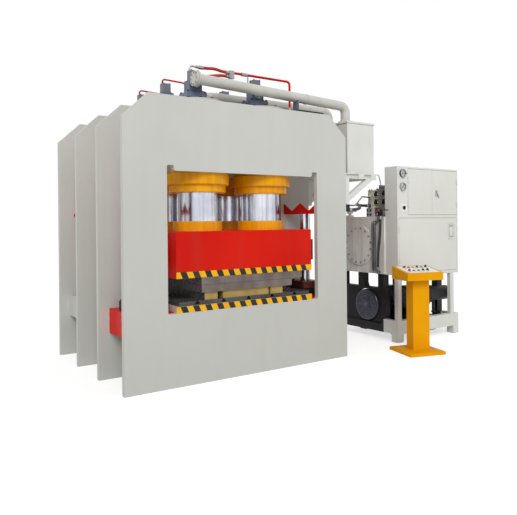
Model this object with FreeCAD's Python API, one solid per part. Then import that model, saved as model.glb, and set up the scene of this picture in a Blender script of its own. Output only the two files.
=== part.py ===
import FreeCAD, Part
import math
import os

# Multi-cylinder frame press with its power unit and push-button console.
# Lengths are in millimetres. The origin is the middle of the front frame plate's foot:
# +X runs to the right towards the power unit, +Y to the rear, +Z up.

V = FreeCAD.Vector
X_AXIS = V(1, 0, 0)
Y_AXIS = V(0, 1, 0)
Z_AXIS = V(0, 0, 1)

# ---------------------------------------------------------------- driving dimensions
# Frame plates
plate_width = 2727.0
plate_height = 2800.0
plate_thickness = 55.0
plate_pitch = 690.0
plate_count = 4
shoulder_run = 259.0
shoulder_drop = 242.0
crown_depth = 720.0
window_bottom = 710.0
window_side_gap = 88.5
window_corner_radius = 18.0
relief_width = 75.0
relief_height = 52.0
seat_gap = 0.3

# Cylinders and rams
cylinder_half_spacing = 400.0
ram_radius = 215.0
ram_travel = 285.0
ram_engagement = 320.0
ram_foot_margin = 10.0
ram_foot_height = 30.0
ram_top_chamfer = 18.0
running_fit = 0.08
gland_margin = 85.0
gland_height = 78.0
flange_margin = 120.0
flange_height = 114.0
barrel_bore_margin = 25.0
barrel_wall = 40.0
head_rise = 40.0
head_thickness = 80.0
edge_chamfer = 6.0
clamp_ring_margin = 45.0
clamp_ring_height = 100.0

# Prefill valves on the cylinder heads
valve_offset_x = 27.0
valve_offset_y = 127.0
valve_block = (240.0, 200.0, 120.0)
valve_neck = (150.0, 130.0, 135.0)
valve_cover = (97.0, 97.0, 110.0)
valve_plug_radius = 9.0
valve_plug_length = 25.0
valve_plug_rise = 20.0
pilot_tube_radius = 10.0
pilot_tube_sink = 2.0
pilot_tube_offset_x = -4.0
pilot_tube_offset_y = 73.0
pilot_bend_radius = 34.0
pilot_union_drop = 6.0
pilot_union_reach = 120.0
pilot_union_length = 40.0
pilot_union_overlap = 10.0
cross_tube_reach = 260.0
cross_tube_fall = 10.0
cross_tube_tail = 150.0

# Platen, table and guides
platen_width = 1670.0
platen_height = 453.0
platen_chamfer = 8.0
table_slab_height = 61.0
table_web_depth = 240.0
table_fit = 0.5
guide_rows = (0, 2)
guide_offset = 205.0
column_radius = 60.0
column_top_margin = 4.0
foot_box_reach = 211.0
foot_box_rise = 10.0
foot_block = (340.0, 320.0, 86.0)
foot_flange = (260.0, 260.0, 74.0)
arm_rise = 110.0
arm_height = 200.0
arm_width = 150.0
arm_boss_wall = 35.0
arm_boss_margin = 20.0
arm_gusset_drop = 90.0
arm_gusset_width = 30.0
bracket_clearance = 15.0
bracket_floor_height = 30.0
bracket_valley_height = 36.0
bracket_peak_height = 130.0
bracket_inner_reach = 71.0
bracket_outer_reach = {"front": 71.0, "rear": 152.0}
bracket_wall = 10.0
bracket_seat_gap = 0.05

# Tooling in the daylight
bolster_height = 41.0
bolster_side_margin = 35.0
bolster_inset = 17.0
slot_count = 5
slot_spacing = 300.0
slot_mouth = 28.0
slot_mouth_depth = 18.0
slot_tee_width = 50.0
slot_tee_height = 15.0
die_front_inset = 7.0
die_rear_inset = 108.0
die_gap = 2.0
riser_height = 77.0
riser_spans = ((-515.0, -367.0), (-302.0, 260.0), (287.0, 446.0))
lower_die_half_width = 557.0
lower_die_height = 74.0
upper_die_left = -558.0
upper_die_right = 697.0
upper_die_height = 75.0
riser_front_inset = 20.0

# Filling pipes over the crown
front_pipe_radius = 57.0
front_pipe_set_forward = 200.0
front_pipe_overhang = 77.0
front_pipe_rise = 115.0
front_pipe_slope = 0.037
pipe_bend_factor = 2.6
blind_flange_margin = 25.0
blind_flange_thickness = 20.0
branch_radius = 40.0
branch_flange_margin = 15.0
branch_flange_thickness = 16.0
coupling_offset = 576.0
coupling_length = 22.0
coupling_margin = 4.0
bridge_offset = 273.0
bridge_length = 350.0
bridge_height = 22.0
saddle_offset = 443.0
saddle_thickness = 20.0
saddle_width = 90.0
rear_pipe_radius = 50.0
rear_pipe_set_forward = 320.0
rear_pipe_rise = 90.0
rear_post = (60.0, 40.0)

# Pilot lines
pilot_offset_y = 100.0
pilot_rise = 80.0
pilot_pipe_radius = 14.0
pilot_pipe_bend = 42.0
pilot_hose_radius = 17.0
junction_offset = 256.0
junction = (58.0, 40.0, 90.0)
junction_top_rise = 20.0
junction_port_drop = 47.0
pilot_drop_inset = 45.0
pilot_pad = (50.0, 50.0, 40.0)
pilot_coupling_offset = 139.0
pilot_coupling_length = 70.0
pilot_coupling_radius = 21.0
branch_tube_radius = 9.0
branch_tube_bend = 27.0
pilot_landing_inset = 32.0
upper_hose_lead = 82.0
upper_hose_crest = (197.0, 11.0, 17.0)
upper_hose_tail = 87.0
upper_hose_drop = 5.0
lower_hose_rise = 70.0
lower_hose_lead = 99.5
lower_hose_crest = (229.5, 33.0, 35.0)
lower_hose_tail = 97.0

# Overhead filling tank and its bracket
tank_stand_off = 171.5
tank_width = 445.0
tank_front_y = 125.0
tank_length = 1150.0
tank_drop = 655.0
tank_height = 650.0
tank_wall = 6.0
tank_lid_overhang = 9.0
tank_lid_thickness = 22.0
nozzle_margin = 28.0
nozzle_height = 20.0
front_drop_inset = 105.0
rear_drop_inset = 344.0
rail_width = 80.0
rail_inset = 40.0
channel_height = 62.0
channel_width = 55.0
channel_flange = 8.0
channel_reach = 498.0
upright_depth = 53.0
brace_foot_drop = 303.0
brace_reach = 450.0
brace_height = 74.0
gusset_thickness = 12.0
gusset_row = 1
bracket_rows = (0, 1, 2)

# Return pipe from the valve manifold to the tank
return_radius = 8.0
return_bend_radius = 45.0
return_outlet = (28.0, 34.0, 28.0)
return_outlet_inset = 150.0
return_outlet_rise = 12.0
return_overrun = 65.0
return_tail_rise = 45.0

# Reservoir
power_unit_gap = 994.5
reservoir_width = 1232.0
reservoir_depth = 900.0
reservoir_bottom = 875.0
reservoir_height = 762.0
reservoir_wall = 8.0
manhole_y = 782.0
manhole_rise = 370.0
manhole_radius = 205.0
cover_margin = 67.0
cover_thickness = 16.0
cover_bolt_inset = 36.0
cover_bolt_count = 16
cover_bolt_radius = 13.0
cover_bolt_height = 12.0
filter_inset = 44.0
filter_rear_inset = 207.0
filter_foot = (76.0, 76.0, 24.0)
filter_neck_radius = 22.0
filter_neck_height = 26.0
filter_head = (66.0, 60.0, 66.0)
filter_arm_radius = 11.0
filter_arm_length = 118.0
side_pipe_stand_off = 36.0
side_pipe_radius = 14.0
side_pipe_ys = (455.0, 492.0)
side_pipe_top = 1560.0
side_pipe_bottom = 925.0
side_pipe_bend = 24.0
elbow_radius = 20.0
elbow_height = 46.0
drain_gap = 60.0
shutoff_stand_off = 40.0
shutoff_y = 345.0
shutoff_rise = 63.0
shutoff_body = (46.0, 46.0, 56.0)
shutoff_stub_radius = 15.0
shutoff_stub_drop = 57.0
lever_stem_radius = 8.0
lever_stem_height = 16.0
lever_length = 132.0
lever_width = 16.0
lever_thickness = 7.0

# Cabinet
cabinet_inset = 18.0
cabinet_width = 1223.0
cabinet_depth = 215.0
cabinet_front_y = 102.0
cabinet_bottom = 870.0
cabinet_height = 1415.0
cabinet_skin = 3.0
shelf_rise = 766.0
door_gap = 3.0
door_depth = 20.0
door_skin = 2.0
gauge_strip_width = 203.0
upper_door_foot = 19.0
upper_door_drop = 23.0
upper_door_split_inset = 683.5
upper_door_margin = 17.0
lower_door_foot = 20.0
lower_door_drop = 21.0
lower_door_margin = 24.0
hinge_stand_off = 8.0
hinge_knuckle_radius = 7.0
hinge_knuckle_length = 34.0
hinge_web_inner = 3.5
hinge_web_outer = 9.1
hinge_pin_radius = 3.5
hinge_pin_fit = 0.05
hinge_leaf_width = 18.0
hinge_leaf_thickness = 3.0
hinge_inset = 112.0
handle_inset = 88.5
handle_rise = 305.0
handle_shaft_radius = 6.0
handle_rose_radius = 14.0
handle_rose_height = 6.0
handle_angle = -58.0
handle_length = 84.0
handle_width = 14.0
handle_thickness = 9.0
control_fit = 0.05
pull_inset = 73.0
pull_width = 135.0
pull_height = 221.0
pull_rise = 450.0
pull_rim = 10.0
pull_stand_off = 8.0
pull_dish_depth = 6.0
gauge_inset = 94.0
gauge_drops = {"upper": 89.0, "lower": 262.0}
gauge_radius = 51.0
gauge_rim = 7.0
gauge_depth = 24.0
gauge_recess = 14.0
gauge_spindle_radius = 2.5
needle_hub_radius = 6.0
needle_thickness = 2.0
needle_length = 34.0
needle_tail = 12.0
needle_half_width = 3.0
needle_stand_off = 4.0
needle_start_angle = 135.0
selector_inset = 122.0
selector_rise = 112.0
selector_plate = (112.0, 104.0)
selector_plate_thickness = 1.5
selector_shaft_radius = 8.0
selector_shaft_reach = 12.0
selector_shaft_start = 2.0
selector_radius = 24.0
selector_height = 10.0
selector_grip_width = 12.0
selector_grip_height = 14.0
lamp_radius = 9.0
lamp_height = 9.0
lamp_inset = 172.0

# Switchgear inside the cabinet
mounting_plate_margin = 60.0
mounting_plate_thickness = 3.0
mounting_plate_stand_off = 12.0
mounting_rib_width = 80.0
mounting_rib_inset = 40.0
switch_rows = ((0.25, 90.0, 110.0, 85.0), (0.7, 60.0, 90.0, 70.0))
switch_pitch_share = 2.2

# Cabinet stand
stand_floor_gap = 108.0
stand_beam_top = 280.0
stand_beam_depth = 80.0
stand_beam_wall = 10.0
stand_side_depth = 250.0
stand_side_width = 60.0
stand_leg_width = 73.0
stand_leg_depth = 52.0
stand_left_overhang = 8.0
right_leg_inset = 98.0
stand_foot = (110.0, 110.0)

# Power base with its motors
base_inset = 36.0
base_width = 1196.0
base_depth = 873.0
base_floor_gap = 100.0
base_beam_width = 80.0
base_beam_height = 130.0
base_deck_drop = 25.0
base_deck_thickness = 12.0
base_rail_drop = 193.0
base_rail_height = 30.0
base_post_size = 100.0
base_post_insets = (20.0, 393.0, 773.0)
end_plate_inset = 30.0
end_plate_thickness = 12.0
fan_hole_margin = 8.0
base_pad_size = 120.0
base_pad_insets_x = (406.0, 1086.0)
base_pad_insets_y = (158.0, 758.0)
base_strip_gap = 18.0
base_strip_lean = 72.0
base_strip_width = 24.0
base_strip_thickness = 10.0
shelf_inset = 256.0
shelf_width = 430.0
shelf_gap = 4.0
shelf_height = 70.0
main_motor_inset = 348.0
main_motor_radius = 196.0
main_motor_clearance = 29.0
main_cowl_margin = 18.0
main_cowl_length = 110.0
main_cowl_round = 24.0
main_body_length = 530.0
main_bell_length = 160.0
main_bell_radius = 156.8
main_pump_length = 230.0
main_pump_radius = 107.8
main_box_inset = 300.0
main_box_length = 160.0
main_box_width = 140.0
main_box_rise = 46.0
main_foot_inset = 50.0
main_foot_length = 60.0
main_foot_half_width = 170.0
main_foot_sink = 78.4
auxiliary_motor_y = 270.0
auxiliary_motor_radius = 140.0
auxiliary_motor_clearance = 120.0
auxiliary_overhang = 40.0
auxiliary_cowl_margin = 12.0
auxiliary_cowl_length = 80.0
auxiliary_cowl_round = 18.0
auxiliary_body_length = 400.0
auxiliary_bell_length = 120.0
auxiliary_bell_radius = 119.0
auxiliary_pump_length = 315.0
auxiliary_pump_radius = 100.0
auxiliary_foot_inset = 30.0
auxiliary_foot_half_width = 75.0
auxiliary_foot_sink = 42.0
suction_inset = 60.0
suction_radius = 20.0
suction_flange_radius = 32.0
suction_flange_height = 16.0
motor_rib_count = 20
motor_rib_height = 11.0
motor_rib_width = 8.0
motor_rib_root = 4.0

# Valve manifold on the reservoir
manifold_inset = 17.0
manifold_width = 315.0
manifold_y = (555.0, 655.0)
manifold_block_height = 118.0
stack_half_depth = 30.0
left_stack_inset = 12.0
left_stack_width = 137.0
left_stack_height = 245.0
right_stack_gap = 14.0
right_stack_width = 142.0
right_stack_height = 265.0
coil_levels = (0.3, 0.75)
coil_radius = 22.0
coil_length = 52.0
relief_inset = 55.0
relief_block = (92.0, 48.0, 82.0)
relief_rise = 40.0
relief_knob_radius = 20.0
relief_knob_length = 34.0
top_port_radius = 24.0
top_port_height = 52.0
top_port_sink = 10.0
top_port_inset = 60.0
top_port_spacing = 58.0
port_radius = 26.0
port_length = 24.0
port_sink = 5.0
pressure_port_rise = 150.0
link_inset_z = 262.0
link_radius = 9.0
link_bend = 120.0
link_crest = (-150.0, 0.0, 10.0)
link_shoulder = (570.0, 350.0, 125.0)
link_tail = 110.0
link_port_rise = 32.0

# Hoses; a free hose takes the widest bend that its runs allow, up to free_bend
free_bend = 10000.0
pressure_hose_radius = 18.0
drain_hose_radius = 16.0
pressure_hose_lead = 230.0
pressure_hose_bend = (-473.0, -280.0, 18.0)
pressure_hose_tail = 215.0
drain_hose_lead = 204.0
drain_hose_tail = 215.0
bulkhead = (62.0, 50.0, 84.0)
bulkhead_gap = 3.0
pressure_port_drop = 20.0

# Console
console_inset = 195.0
console_y = -366.0
console_turn = -16.5
console_base = (474.0, 469.0, 18.0)
console_base_chamfer = 5.0
console_column = (226.0, 151.0)
console_column_x = 25.0
console_column_y = 15.0
desk_x = 4.0
desk_y = -12.0
desk_width = 483.0
desk_depth = 347.0
desk_bottom = 875.0
desk_front_height = 87.0
desk_rear_height = 152.0
desk_wall = 2.5
desk_rim = 30.0
face_plate_thickness = 3.0
button_shaft_radius = 8.0
button_shaft_reach = 20.0
button_cap_radius = 14.0
button_cap_height = 11.0
button_bezel_radius = 17.0
button_bezel_height = 4.0
button_travel = 5.0
button_stand_off = 1.0
button_crown_radius = 8.4
button_shoulder = 6.6
mushroom_radius = 20.0
mushroom_height = 12.0
mushroom_crown_radius = 12.0
mushroom_skirt = 3.0
mushroom_shoulder = 7.2
knob_radius = 14.0
knob_height = 8.0
knob_grip_width = 8.0
knob_grip_height = 12.0
rear_row_y = 78.0
front_row_y = -62.0
rear_row_x = (-132.0, -73.0, -14.0, 45.0, 104.0, 163.0)
front_row_x = (-148.0, -86.0, -24.0, 38.0, 100.0)

# ---------------------------------------------------------------- derived sizes
# Press
half_plate = plate_thickness / 2.0
plate_edge = plate_width / 2.0
first_gap = plate_pitch / 2.0
press_rear = (plate_count - 1) * plate_pitch + half_plate
gap_length = plate_pitch - plate_thickness
window_width = platen_width + 2 * window_side_gap
window_top = plate_height - crown_depth
flange_bottom = window_top - flange_height
gland_bottom = flange_bottom - gland_height
table_top = window_bottom + table_slab_height
bolster_width = platen_width - 2 * bolster_side_margin
bolster_top = table_top + bolster_height
lower_die_top = bolster_top + riser_height + lower_die_height
platen_bottom = lower_die_top + die_gap + upper_die_height
platen_top = platen_bottom + platen_height
die_length = press_rear + half_plate - die_front_inset - die_rear_inset
ram_top = window_top + ram_engagement
ram_foot_radius = ram_radius + ram_foot_margin
gland_radius = ram_radius + gland_margin
flange_radius = ram_radius + flange_margin
barrel_bore_radius = ram_radius + barrel_bore_margin
barrel_radius = barrel_bore_radius + barrel_wall
barrel_top = plate_height + head_rise
clamp_ring_radius = ram_radius + clamp_ring_margin
guide_x = platen_width / 2.0 + guide_offset
foot_box_top = window_bottom + foot_box_rise
foot_box_outer_x = guide_x + foot_box_reach
foot_top = foot_box_top + foot_block[2] + foot_flange[2]
arm_bottom = platen_bottom + arm_rise
arm_boss_radius = column_radius + arm_boss_wall
bracket_bottom = arm_bottom + arm_height + arm_boss_margin + ram_travel + bracket_clearance
bracket_top = bracket_bottom + bracket_peak_height

# Crown
valve_base = barrel_top
neck_base = valve_base + valve_block[2]
cover_base = neck_base + valve_neck[2]
valve_top = cover_base + valve_cover[2]
front_pipe_y = first_gap + valve_offset_y - front_pipe_set_forward
front_pipe_left_x = valve_offset_x - cylinder_half_spacing - front_pipe_overhang
front_pipe_left_z = neck_base + front_pipe_rise
blind_flange_radius = front_pipe_radius + blind_flange_margin
branch_flange_radius = branch_radius + branch_flange_margin
coupling_x = cylinder_half_spacing + valve_offset_x + coupling_offset
bridge_left_x = cylinder_half_spacing + valve_offset_x + bridge_offset
bridge_right_x = bridge_left_x + bridge_length
saddle_x = cylinder_half_spacing + valve_offset_x + saddle_offset
rear_pipe_y = first_gap + plate_pitch + valve_offset_y - rear_pipe_set_forward
rear_pipe_z = neck_base + rear_pipe_rise
pilot_y = first_gap + valve_offset_y + pilot_offset_y
pilot_z = valve_top + pilot_rise
junction_x = cylinder_half_spacing + valve_offset_x - junction_offset
junction_port_z = pilot_z - junction_port_drop
pilot_drop_x = bridge_right_x - pilot_drop_inset
pilot_coupling_x = junction_x + pilot_coupling_offset
pilot_landing_x = cylinder_half_spacing + valve_offset_x - pilot_landing_inset

# Tank
tank_left_x = plate_edge + tank_stand_off
tank_bottom = plate_height - tank_drop
tank_top = tank_bottom + tank_height
nozzle_radius = front_pipe_radius + nozzle_margin
nozzle_top = tank_top + nozzle_height
tank_right_x = tank_left_x + tank_width
tank_rear_y = tank_front_y + tank_length
front_drop_x = tank_left_x + front_drop_inset
rear_drop_x = tank_left_x + rear_drop_inset
return_outlet_x = tank_left_x + return_outlet_inset
return_y = tank_front_y - return_outlet[1] / 2.0
return_z = tank_bottom + return_outlet_rise
bracket_foot_z = tank_bottom - channel_height - brace_foot_drop
bulkhead_face_x = plate_edge + bulkhead[0]
bulkhead_z = bracket_foot_z - bulkhead_gap - bulkhead[2] / 2.0

# Power unit
reservoir_left_x = plate_edge + power_unit_gap
reservoir_right_x = reservoir_left_x + reservoir_width
reservoir_front_y = cabinet_front_y + cabinet_depth
reservoir_rear_y = reservoir_front_y + reservoir_depth
reservoir_top = reservoir_bottom + reservoir_height
manhole_z = reservoir_bottom + manhole_rise
cover_radius = manhole_radius + cover_margin
cover_bolt_pitch_radius = cover_radius - cover_bolt_inset
filter_x = reservoir_left_x + filter_inset
filter_y = reservoir_rear_y - filter_rear_inset
side_pipe_x = reservoir_left_x - side_pipe_stand_off
drain_end_y = side_pipe_ys[0] - drain_gap
shutoff_x = reservoir_left_x - shutoff_stand_off
shutoff_z = reservoir_top + shutoff_rise
shutoff_stub_z = reservoir_top - shutoff_stub_drop
manifold_left_x = reservoir_left_x + manifold_inset
manifold_top = reservoir_top + manifold_block_height
manifold_middle_y = (manifold_y[0] + manifold_y[1]) / 2.0
left_stack_x = manifold_left_x + left_stack_inset
left_stack_top = manifold_top + left_stack_height
right_stack_x = left_stack_x + left_stack_width + right_stack_gap
right_stack_top = manifold_top + right_stack_height
top_port_x = right_stack_x + top_port_inset
top_port_top = right_stack_top + top_port_height
pressure_port_z = reservoir_top + pressure_port_rise
link_port_z = reservoir_top + link_inset_z
base_left_x = reservoir_left_x + base_inset
base_right_x = base_left_x + base_width
base_front_y = cabinet_front_y + stand_side_depth
base_rear_y = base_front_y + base_depth
base_beam_top = base_floor_gap + base_beam_height
base_deck_z = base_beam_top - base_deck_drop
base_rail_top = reservoir_bottom - base_rail_drop
base_rail_bottom = base_rail_top - base_rail_height
main_motor_y = base_front_y + main_motor_inset
main_motor_z = base_deck_z + main_motor_clearance + main_motor_radius
main_cowl_radius = main_motor_radius + main_cowl_margin
shelf_left_x = base_left_x + shelf_inset
shelf_top = base_beam_top + shelf_height
auxiliary_motor_z = shelf_top + auxiliary_motor_clearance + auxiliary_motor_radius
auxiliary_cowl_radius = auxiliary_motor_radius + auxiliary_cowl_margin

# Cabinet and console
cabinet_left_x = reservoir_left_x + cabinet_inset
cabinet_right_x = cabinet_left_x + cabinet_width
cabinet_rear_y = cabinet_front_y + cabinet_depth
cabinet_top = cabinet_bottom + cabinet_height
cabinet_shelf_z = cabinet_bottom + shelf_rise
upper_door_bottom = cabinet_shelf_z + upper_door_foot
upper_door_top = cabinet_top - upper_door_drop
upper_door_split = cabinet_left_x + upper_door_split_inset
lower_door_bottom = cabinet_bottom + lower_door_foot
lower_door_top = cabinet_shelf_z - lower_door_drop
handle_x = upper_door_split + handle_inset
handle_z = upper_door_bottom + handle_rise
pull_right_x = cabinet_right_x - pull_inset
pull_left_x = pull_right_x - pull_width
pull_bottom = cabinet_bottom + pull_rise
pull_top = pull_bottom + pull_height
gauge_x = cabinet_left_x + gauge_inset
gauge_zs = {name: cabinet_top - drop for name, drop in gauge_drops.items()}
gauge_face_radius = gauge_radius - gauge_rim
selector_x = cabinet_left_x + selector_inset
selector_z = cabinet_shelf_z + selector_rise
lamp_x = cabinet_left_x + lamp_inset
console_x = cabinet_left_x - console_inset
desk_slope = math.atan2(desk_rear_height - desk_front_height, desk_depth)

ROWS = ("front", "middle", "rear")
SIDES = {"left": -1, "right": 1}


# ---------------------------------------------------------------- shape helpers
def block(x0, x1, y0, y1, z0, z1):
    """Return a box between two corners."""
    return Part.makeBox(x1 - x0, y1 - y0, z1 - z0, V(x0, y0, z0))


def centred_block(size, centre_x, centre_y, z0):
    """Return a box of a given size, centred in plan, standing at z0."""
    width, depth, height = size
    corner = V(centre_x - width / 2, centre_y - depth / 2, z0)
    return Part.makeBox(width, depth, height, corner)


def rod(radius, length, start, direction):
    """Return a round bar from a start point along a direction."""
    return Part.makeCylinder(radius, length, start, direction)


def prism(points, sweep):
    """Return the solid swept by a closed polygon of points."""
    corners = [V(*point) for point in points]
    face = Part.Face(Part.makePolygon(corners + corners[:1]))
    return face.extrude(sweep)


def turned(profile, x, y):
    """Return a solid turned about the vertical through x, y from (radius, z) points."""
    corners = [V(x + radius, y, z) for radius, z in profile]
    face = Part.Face(Part.makePolygon(corners + corners[:1]))
    return face.revolve(V(x, y, 0), Z_AXIS, 360)


def joined(shapes):
    """Return one solid fused from several touching ones."""
    return shapes[0].multiFuse(shapes[1:]).removeSplitter()


def bevelled(shape, size, keep):
    """Chamfer the straight edges of a shape that a test picks."""
    edges = [edge for edge in shape.Edges if edge.Curve.TypeId == "Part::GeomLine" and keep(edge)]
    return shape.makeChamfer(size, edges)


def is_along(edge, axis):
    """Tell whether a straight edge runs along an axis."""
    return abs(edge.Curve.Direction.dot(axis)) > 0.999


def tangent_path(points, bend):
    """Return a wire of straight runs through points, joined by tangent arcs.

    The bend radius shrinks where a run is too short for it. The least radius and the
    length are returned with the wire."""
    nodes = [V(*point) for point in points]
    edges = []
    least = bend
    start = nodes[0]
    for before, corner, after in zip(nodes, nodes[1:], nodes[2:]):
        back = (before - corner).normalize()
        ahead = (after - corner).normalize()
        half_turn = (math.pi - back.getAngle(ahead)) / 2
        shorter = min((before - corner).Length, (after - corner).Length)
        radius = min(bend, 0.45 * shorter / math.tan(half_turn))
        least = min(least, radius)
        cut = radius * math.tan(half_turn)
        arc_start = corner + back * cut
        arc_end = corner + ahead * cut
        middle = (back + ahead).normalize()
        arc_middle = corner + middle * (radius / math.cos(half_turn) - radius)
        edges.append(Part.makeLine(start, arc_start))
        edges.append(Part.Arc(arc_start, arc_middle, arc_end).toShape())
        start = arc_end
    edges.append(Part.makeLine(start, nodes[-1]))
    wire = Part.Wire(edges)
    return wire, least, wire.Length


def tube(points, radius, bend):
    """Return a round bar swept along straight runs and tangent arcs."""
    wire, least, length = tangent_path(points, bend)
    first, second = V(*points[0]), V(*points[1])
    section = Part.Wire(Part.makeCircle(radius, first, second - first))
    return wire.makePipeShell([section], True, False)


def hose(name, points, radius):
    """Return a free hose and print its length and tightest bend."""
    wire, least, length = tangent_path(points, free_bend)
    shape = tube(points, radius, free_bend)
    share = shape.Volume / (math.pi * radius ** 2 * length)
    print(f"{name}: length {length:.0f} mm, tightest bend {least:.0f} mm, volume share {share:.4f}")
    return shape


# ---------------------------------------------------------------- where things stand
def gap_centre(row):
    """Return the Y of the middle of a gap between two frame plates."""
    return (row + 0.5) * plate_pitch


def plate_y(index):
    """Return the Y of the mid-plane of a frame plate."""
    return index * plate_pitch


def valve_x(side):
    """Return the X of the axis of a prefill valve."""
    return side * cylinder_half_spacing + valve_offset_x


def valve_y(row):
    """Return the Y of the axis of a prefill valve."""
    return gap_centre(row) + valve_offset_y


def front_pipe_z(x):
    """Return the height of the falling front filling pipe at X."""
    return front_pipe_left_z - (x - front_pipe_left_x) * front_pipe_slope


# ---------------------------------------------------------------- press frame
def frame_window():
    """Return the cutter of a frame plate's window with its two relief notches."""
    half = window_width / 2
    reach = plate_thickness
    opening = block(-half, half, -reach, reach, window_bottom, window_top)
    notches = [block(-half, -half + relief_width, -reach, reach, window_bottom,
                     window_top + relief_height),
               block(half - relief_width, half, -reach, reach, window_bottom,
                     window_top + relief_height)]
    cutter = joined([opening] + notches)
    edges = [edge for edge in cutter.Edges if is_along(edge, Y_AXIS)]
    return cutter.makeFillet(window_corner_radius, edges)


def frame_plate(index):
    """Return one frame plate with sloped shoulders and a window."""
    edge = plate_edge
    shoulder = edge - shoulder_run
    eaves = plate_height - shoulder_drop
    outline = [(-edge, 0), (edge, 0), (edge, eaves), (shoulder, plate_height),
               (-shoulder, plate_height), (-edge, eaves)]
    plate = prism([(x, -half_plate, z) for x, z in outline], V(0, plate_thickness, 0))
    plate = plate.cut(frame_window())
    plate.translate(V(0, plate_y(index), 0))
    return plate


def guide_bracket(row, side, outer_reach):
    """Return an upper guide bracket: a bored floor with a zigzag wall between two frame plates."""
    y0 = gap_centre(row) - gap_length / 2
    y1 = y0 + gap_length
    inner_x = guide_x - bracket_inner_reach
    floor = block(inner_x, guide_x + outer_reach, y0, y1, bracket_bottom, bracket_bottom + bracket_floor_height)
    bore = rod(column_radius + bracket_seat_gap, bracket_floor_height,
               V(guide_x, gap_centre(row), bracket_bottom), Z_AXIS)
    valley = bracket_bottom + bracket_valley_height
    quarter = gap_length / 4
    outline = [(y0, bracket_bottom), (y1, bracket_bottom), (y1, bracket_top), (y1 - quarter, valley),
               (y0 + gap_length / 2, bracket_top), (y0 + quarter, valley), (y0, bracket_top)]
    wall = prism([(inner_x, y, z) for y, z in outline], V(bracket_wall, 0, 0))
    shape = joined([floor.cut(bore), wall])
    return shape if side > 0 else shape.mirror(V(0, 0, 0), X_AXIS)


def press_frame():
    """Return the four frame plates; the outer two carry the guide brackets."""
    names = ("frame_plate_front", "frame_plate_second", "frame_plate_third", "frame_plate_rear")
    plates = {name: frame_plate(index) for index, name in enumerate(names)}
    for name, row in (("front", guide_rows[0]), ("rear", guide_rows[1])):
        brackets = [guide_bracket(row, side, bracket_outer_reach[name]) for side in SIDES.values()]
        plates[f"frame_plate_{name}"] = joined([plates[f"frame_plate_{name}"]] + brackets)
    port = centred_block(bulkhead, plate_edge + bulkhead[0] / 2, plate_y(0), bulkhead_z - bulkhead[2] / 2)
    plates["frame_plate_front"] = joined([plates["frame_plate_front"], port])
    return plates


# ---------------------------------------------------------------- cylinders and rams
def prefill_valve(row, side):
    """Return the prefill valve that stands on a cylinder head."""
    x, y = valve_x(side), valve_y(row)
    body = bevelled(centred_block(valve_block, x, y, valve_base), edge_chamfer,
                    lambda edge: is_along(edge, Z_AXIS))
    neck = centred_block(valve_neck, x, y, neck_base)
    cover = bevelled(centred_block(valve_cover, x, y, cover_base), edge_chamfer,
                     lambda edge: is_along(edge, Z_AXIS))
    plug = rod(valve_plug_radius, valve_plug_length,
               V(x + valve_cover[0] / 2, y, cover_base + valve_plug_rise), X_AXIS)
    return [body, neck, cover, plug]


def pilot_riser_top(row):
    """Return the open end of the pilot tube on a left-hand valve."""
    x = valve_x(-1) + pilot_tube_offset_x
    y = valve_y(row) + pilot_tube_offset_y
    return V(x, y, pilot_z - pilot_union_drop)


def pilot_riser(row):
    """Return the pilot tube that leaves a left-hand valve.

    At the front it ends in a hose union, and in the other rows it crosses to the
    right-hand valve."""
    top = pilot_riser_top(row)
    foot = V(top.x, top.y, neck_base - pilot_tube_sink)
    if row == 0:
        union_start = top.x + pilot_union_reach - pilot_union_length
        points = [tuple(foot), tuple(top), (union_start + pilot_union_overlap, top.y, top.z)]
        union = rod(pilot_hose_radius, pilot_union_length, V(union_start, top.y, top.z), X_AXIS)
        return [tube(points, pilot_tube_radius, pilot_bend_radius), union]
    end_x = valve_x(1) - valve_cover[0] / 2 - seat_gap
    end_y = valve_y(row)
    end_z = cover_base + valve_cover[2] / 2
    points = [tuple(foot), tuple(top), (top.x + cross_tube_reach, top.y, top.z - cross_tube_fall),
              (end_x - cross_tube_tail, end_y, end_z), (end_x, end_y, end_z)]
    return [tube(points, pilot_tube_radius, pilot_bend_radius)]


def cylinder(row, side):
    """Return a press cylinder, hung by its flange under the window tops of two plates."""
    x, y = side * cylinder_half_spacing, gap_centre(row)
    bore = ram_radius + running_fit
    profile = [(bore, gland_bottom),
               (gland_radius - edge_chamfer, gland_bottom),
               (gland_radius, gland_bottom + edge_chamfer),
               (gland_radius, flange_bottom),
               (flange_radius - edge_chamfer, flange_bottom),
               (flange_radius, flange_bottom + edge_chamfer),
               (flange_radius, window_top),
               (barrel_radius, window_top),
               (barrel_radius, barrel_top),
               (0, barrel_top),
               (0, barrel_top - head_thickness),
               (barrel_bore_radius, barrel_top - head_thickness),
               (barrel_bore_radius, window_top),
               (bore, window_top)]
    pieces = [turned(profile, x, y)] + prefill_valve(row, side)
    if side < 0:
        pieces += pilot_riser(row)
    return joined(pieces)


def ram(row, side):
    """Return a plunger ram with the foot that its clamp ring holds."""
    x, y = side * cylinder_half_spacing, gap_centre(row)
    profile = [(0, platen_top), (ram_foot_radius, platen_top),
               (ram_foot_radius, platen_top + ram_foot_height),
               (ram_radius, platen_top + ram_foot_height),
               (ram_radius, ram_top - ram_top_chamfer), (ram_radius - ram_top_chamfer, ram_top),
               (0, ram_top)]
    return turned(profile, x, y)


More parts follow.
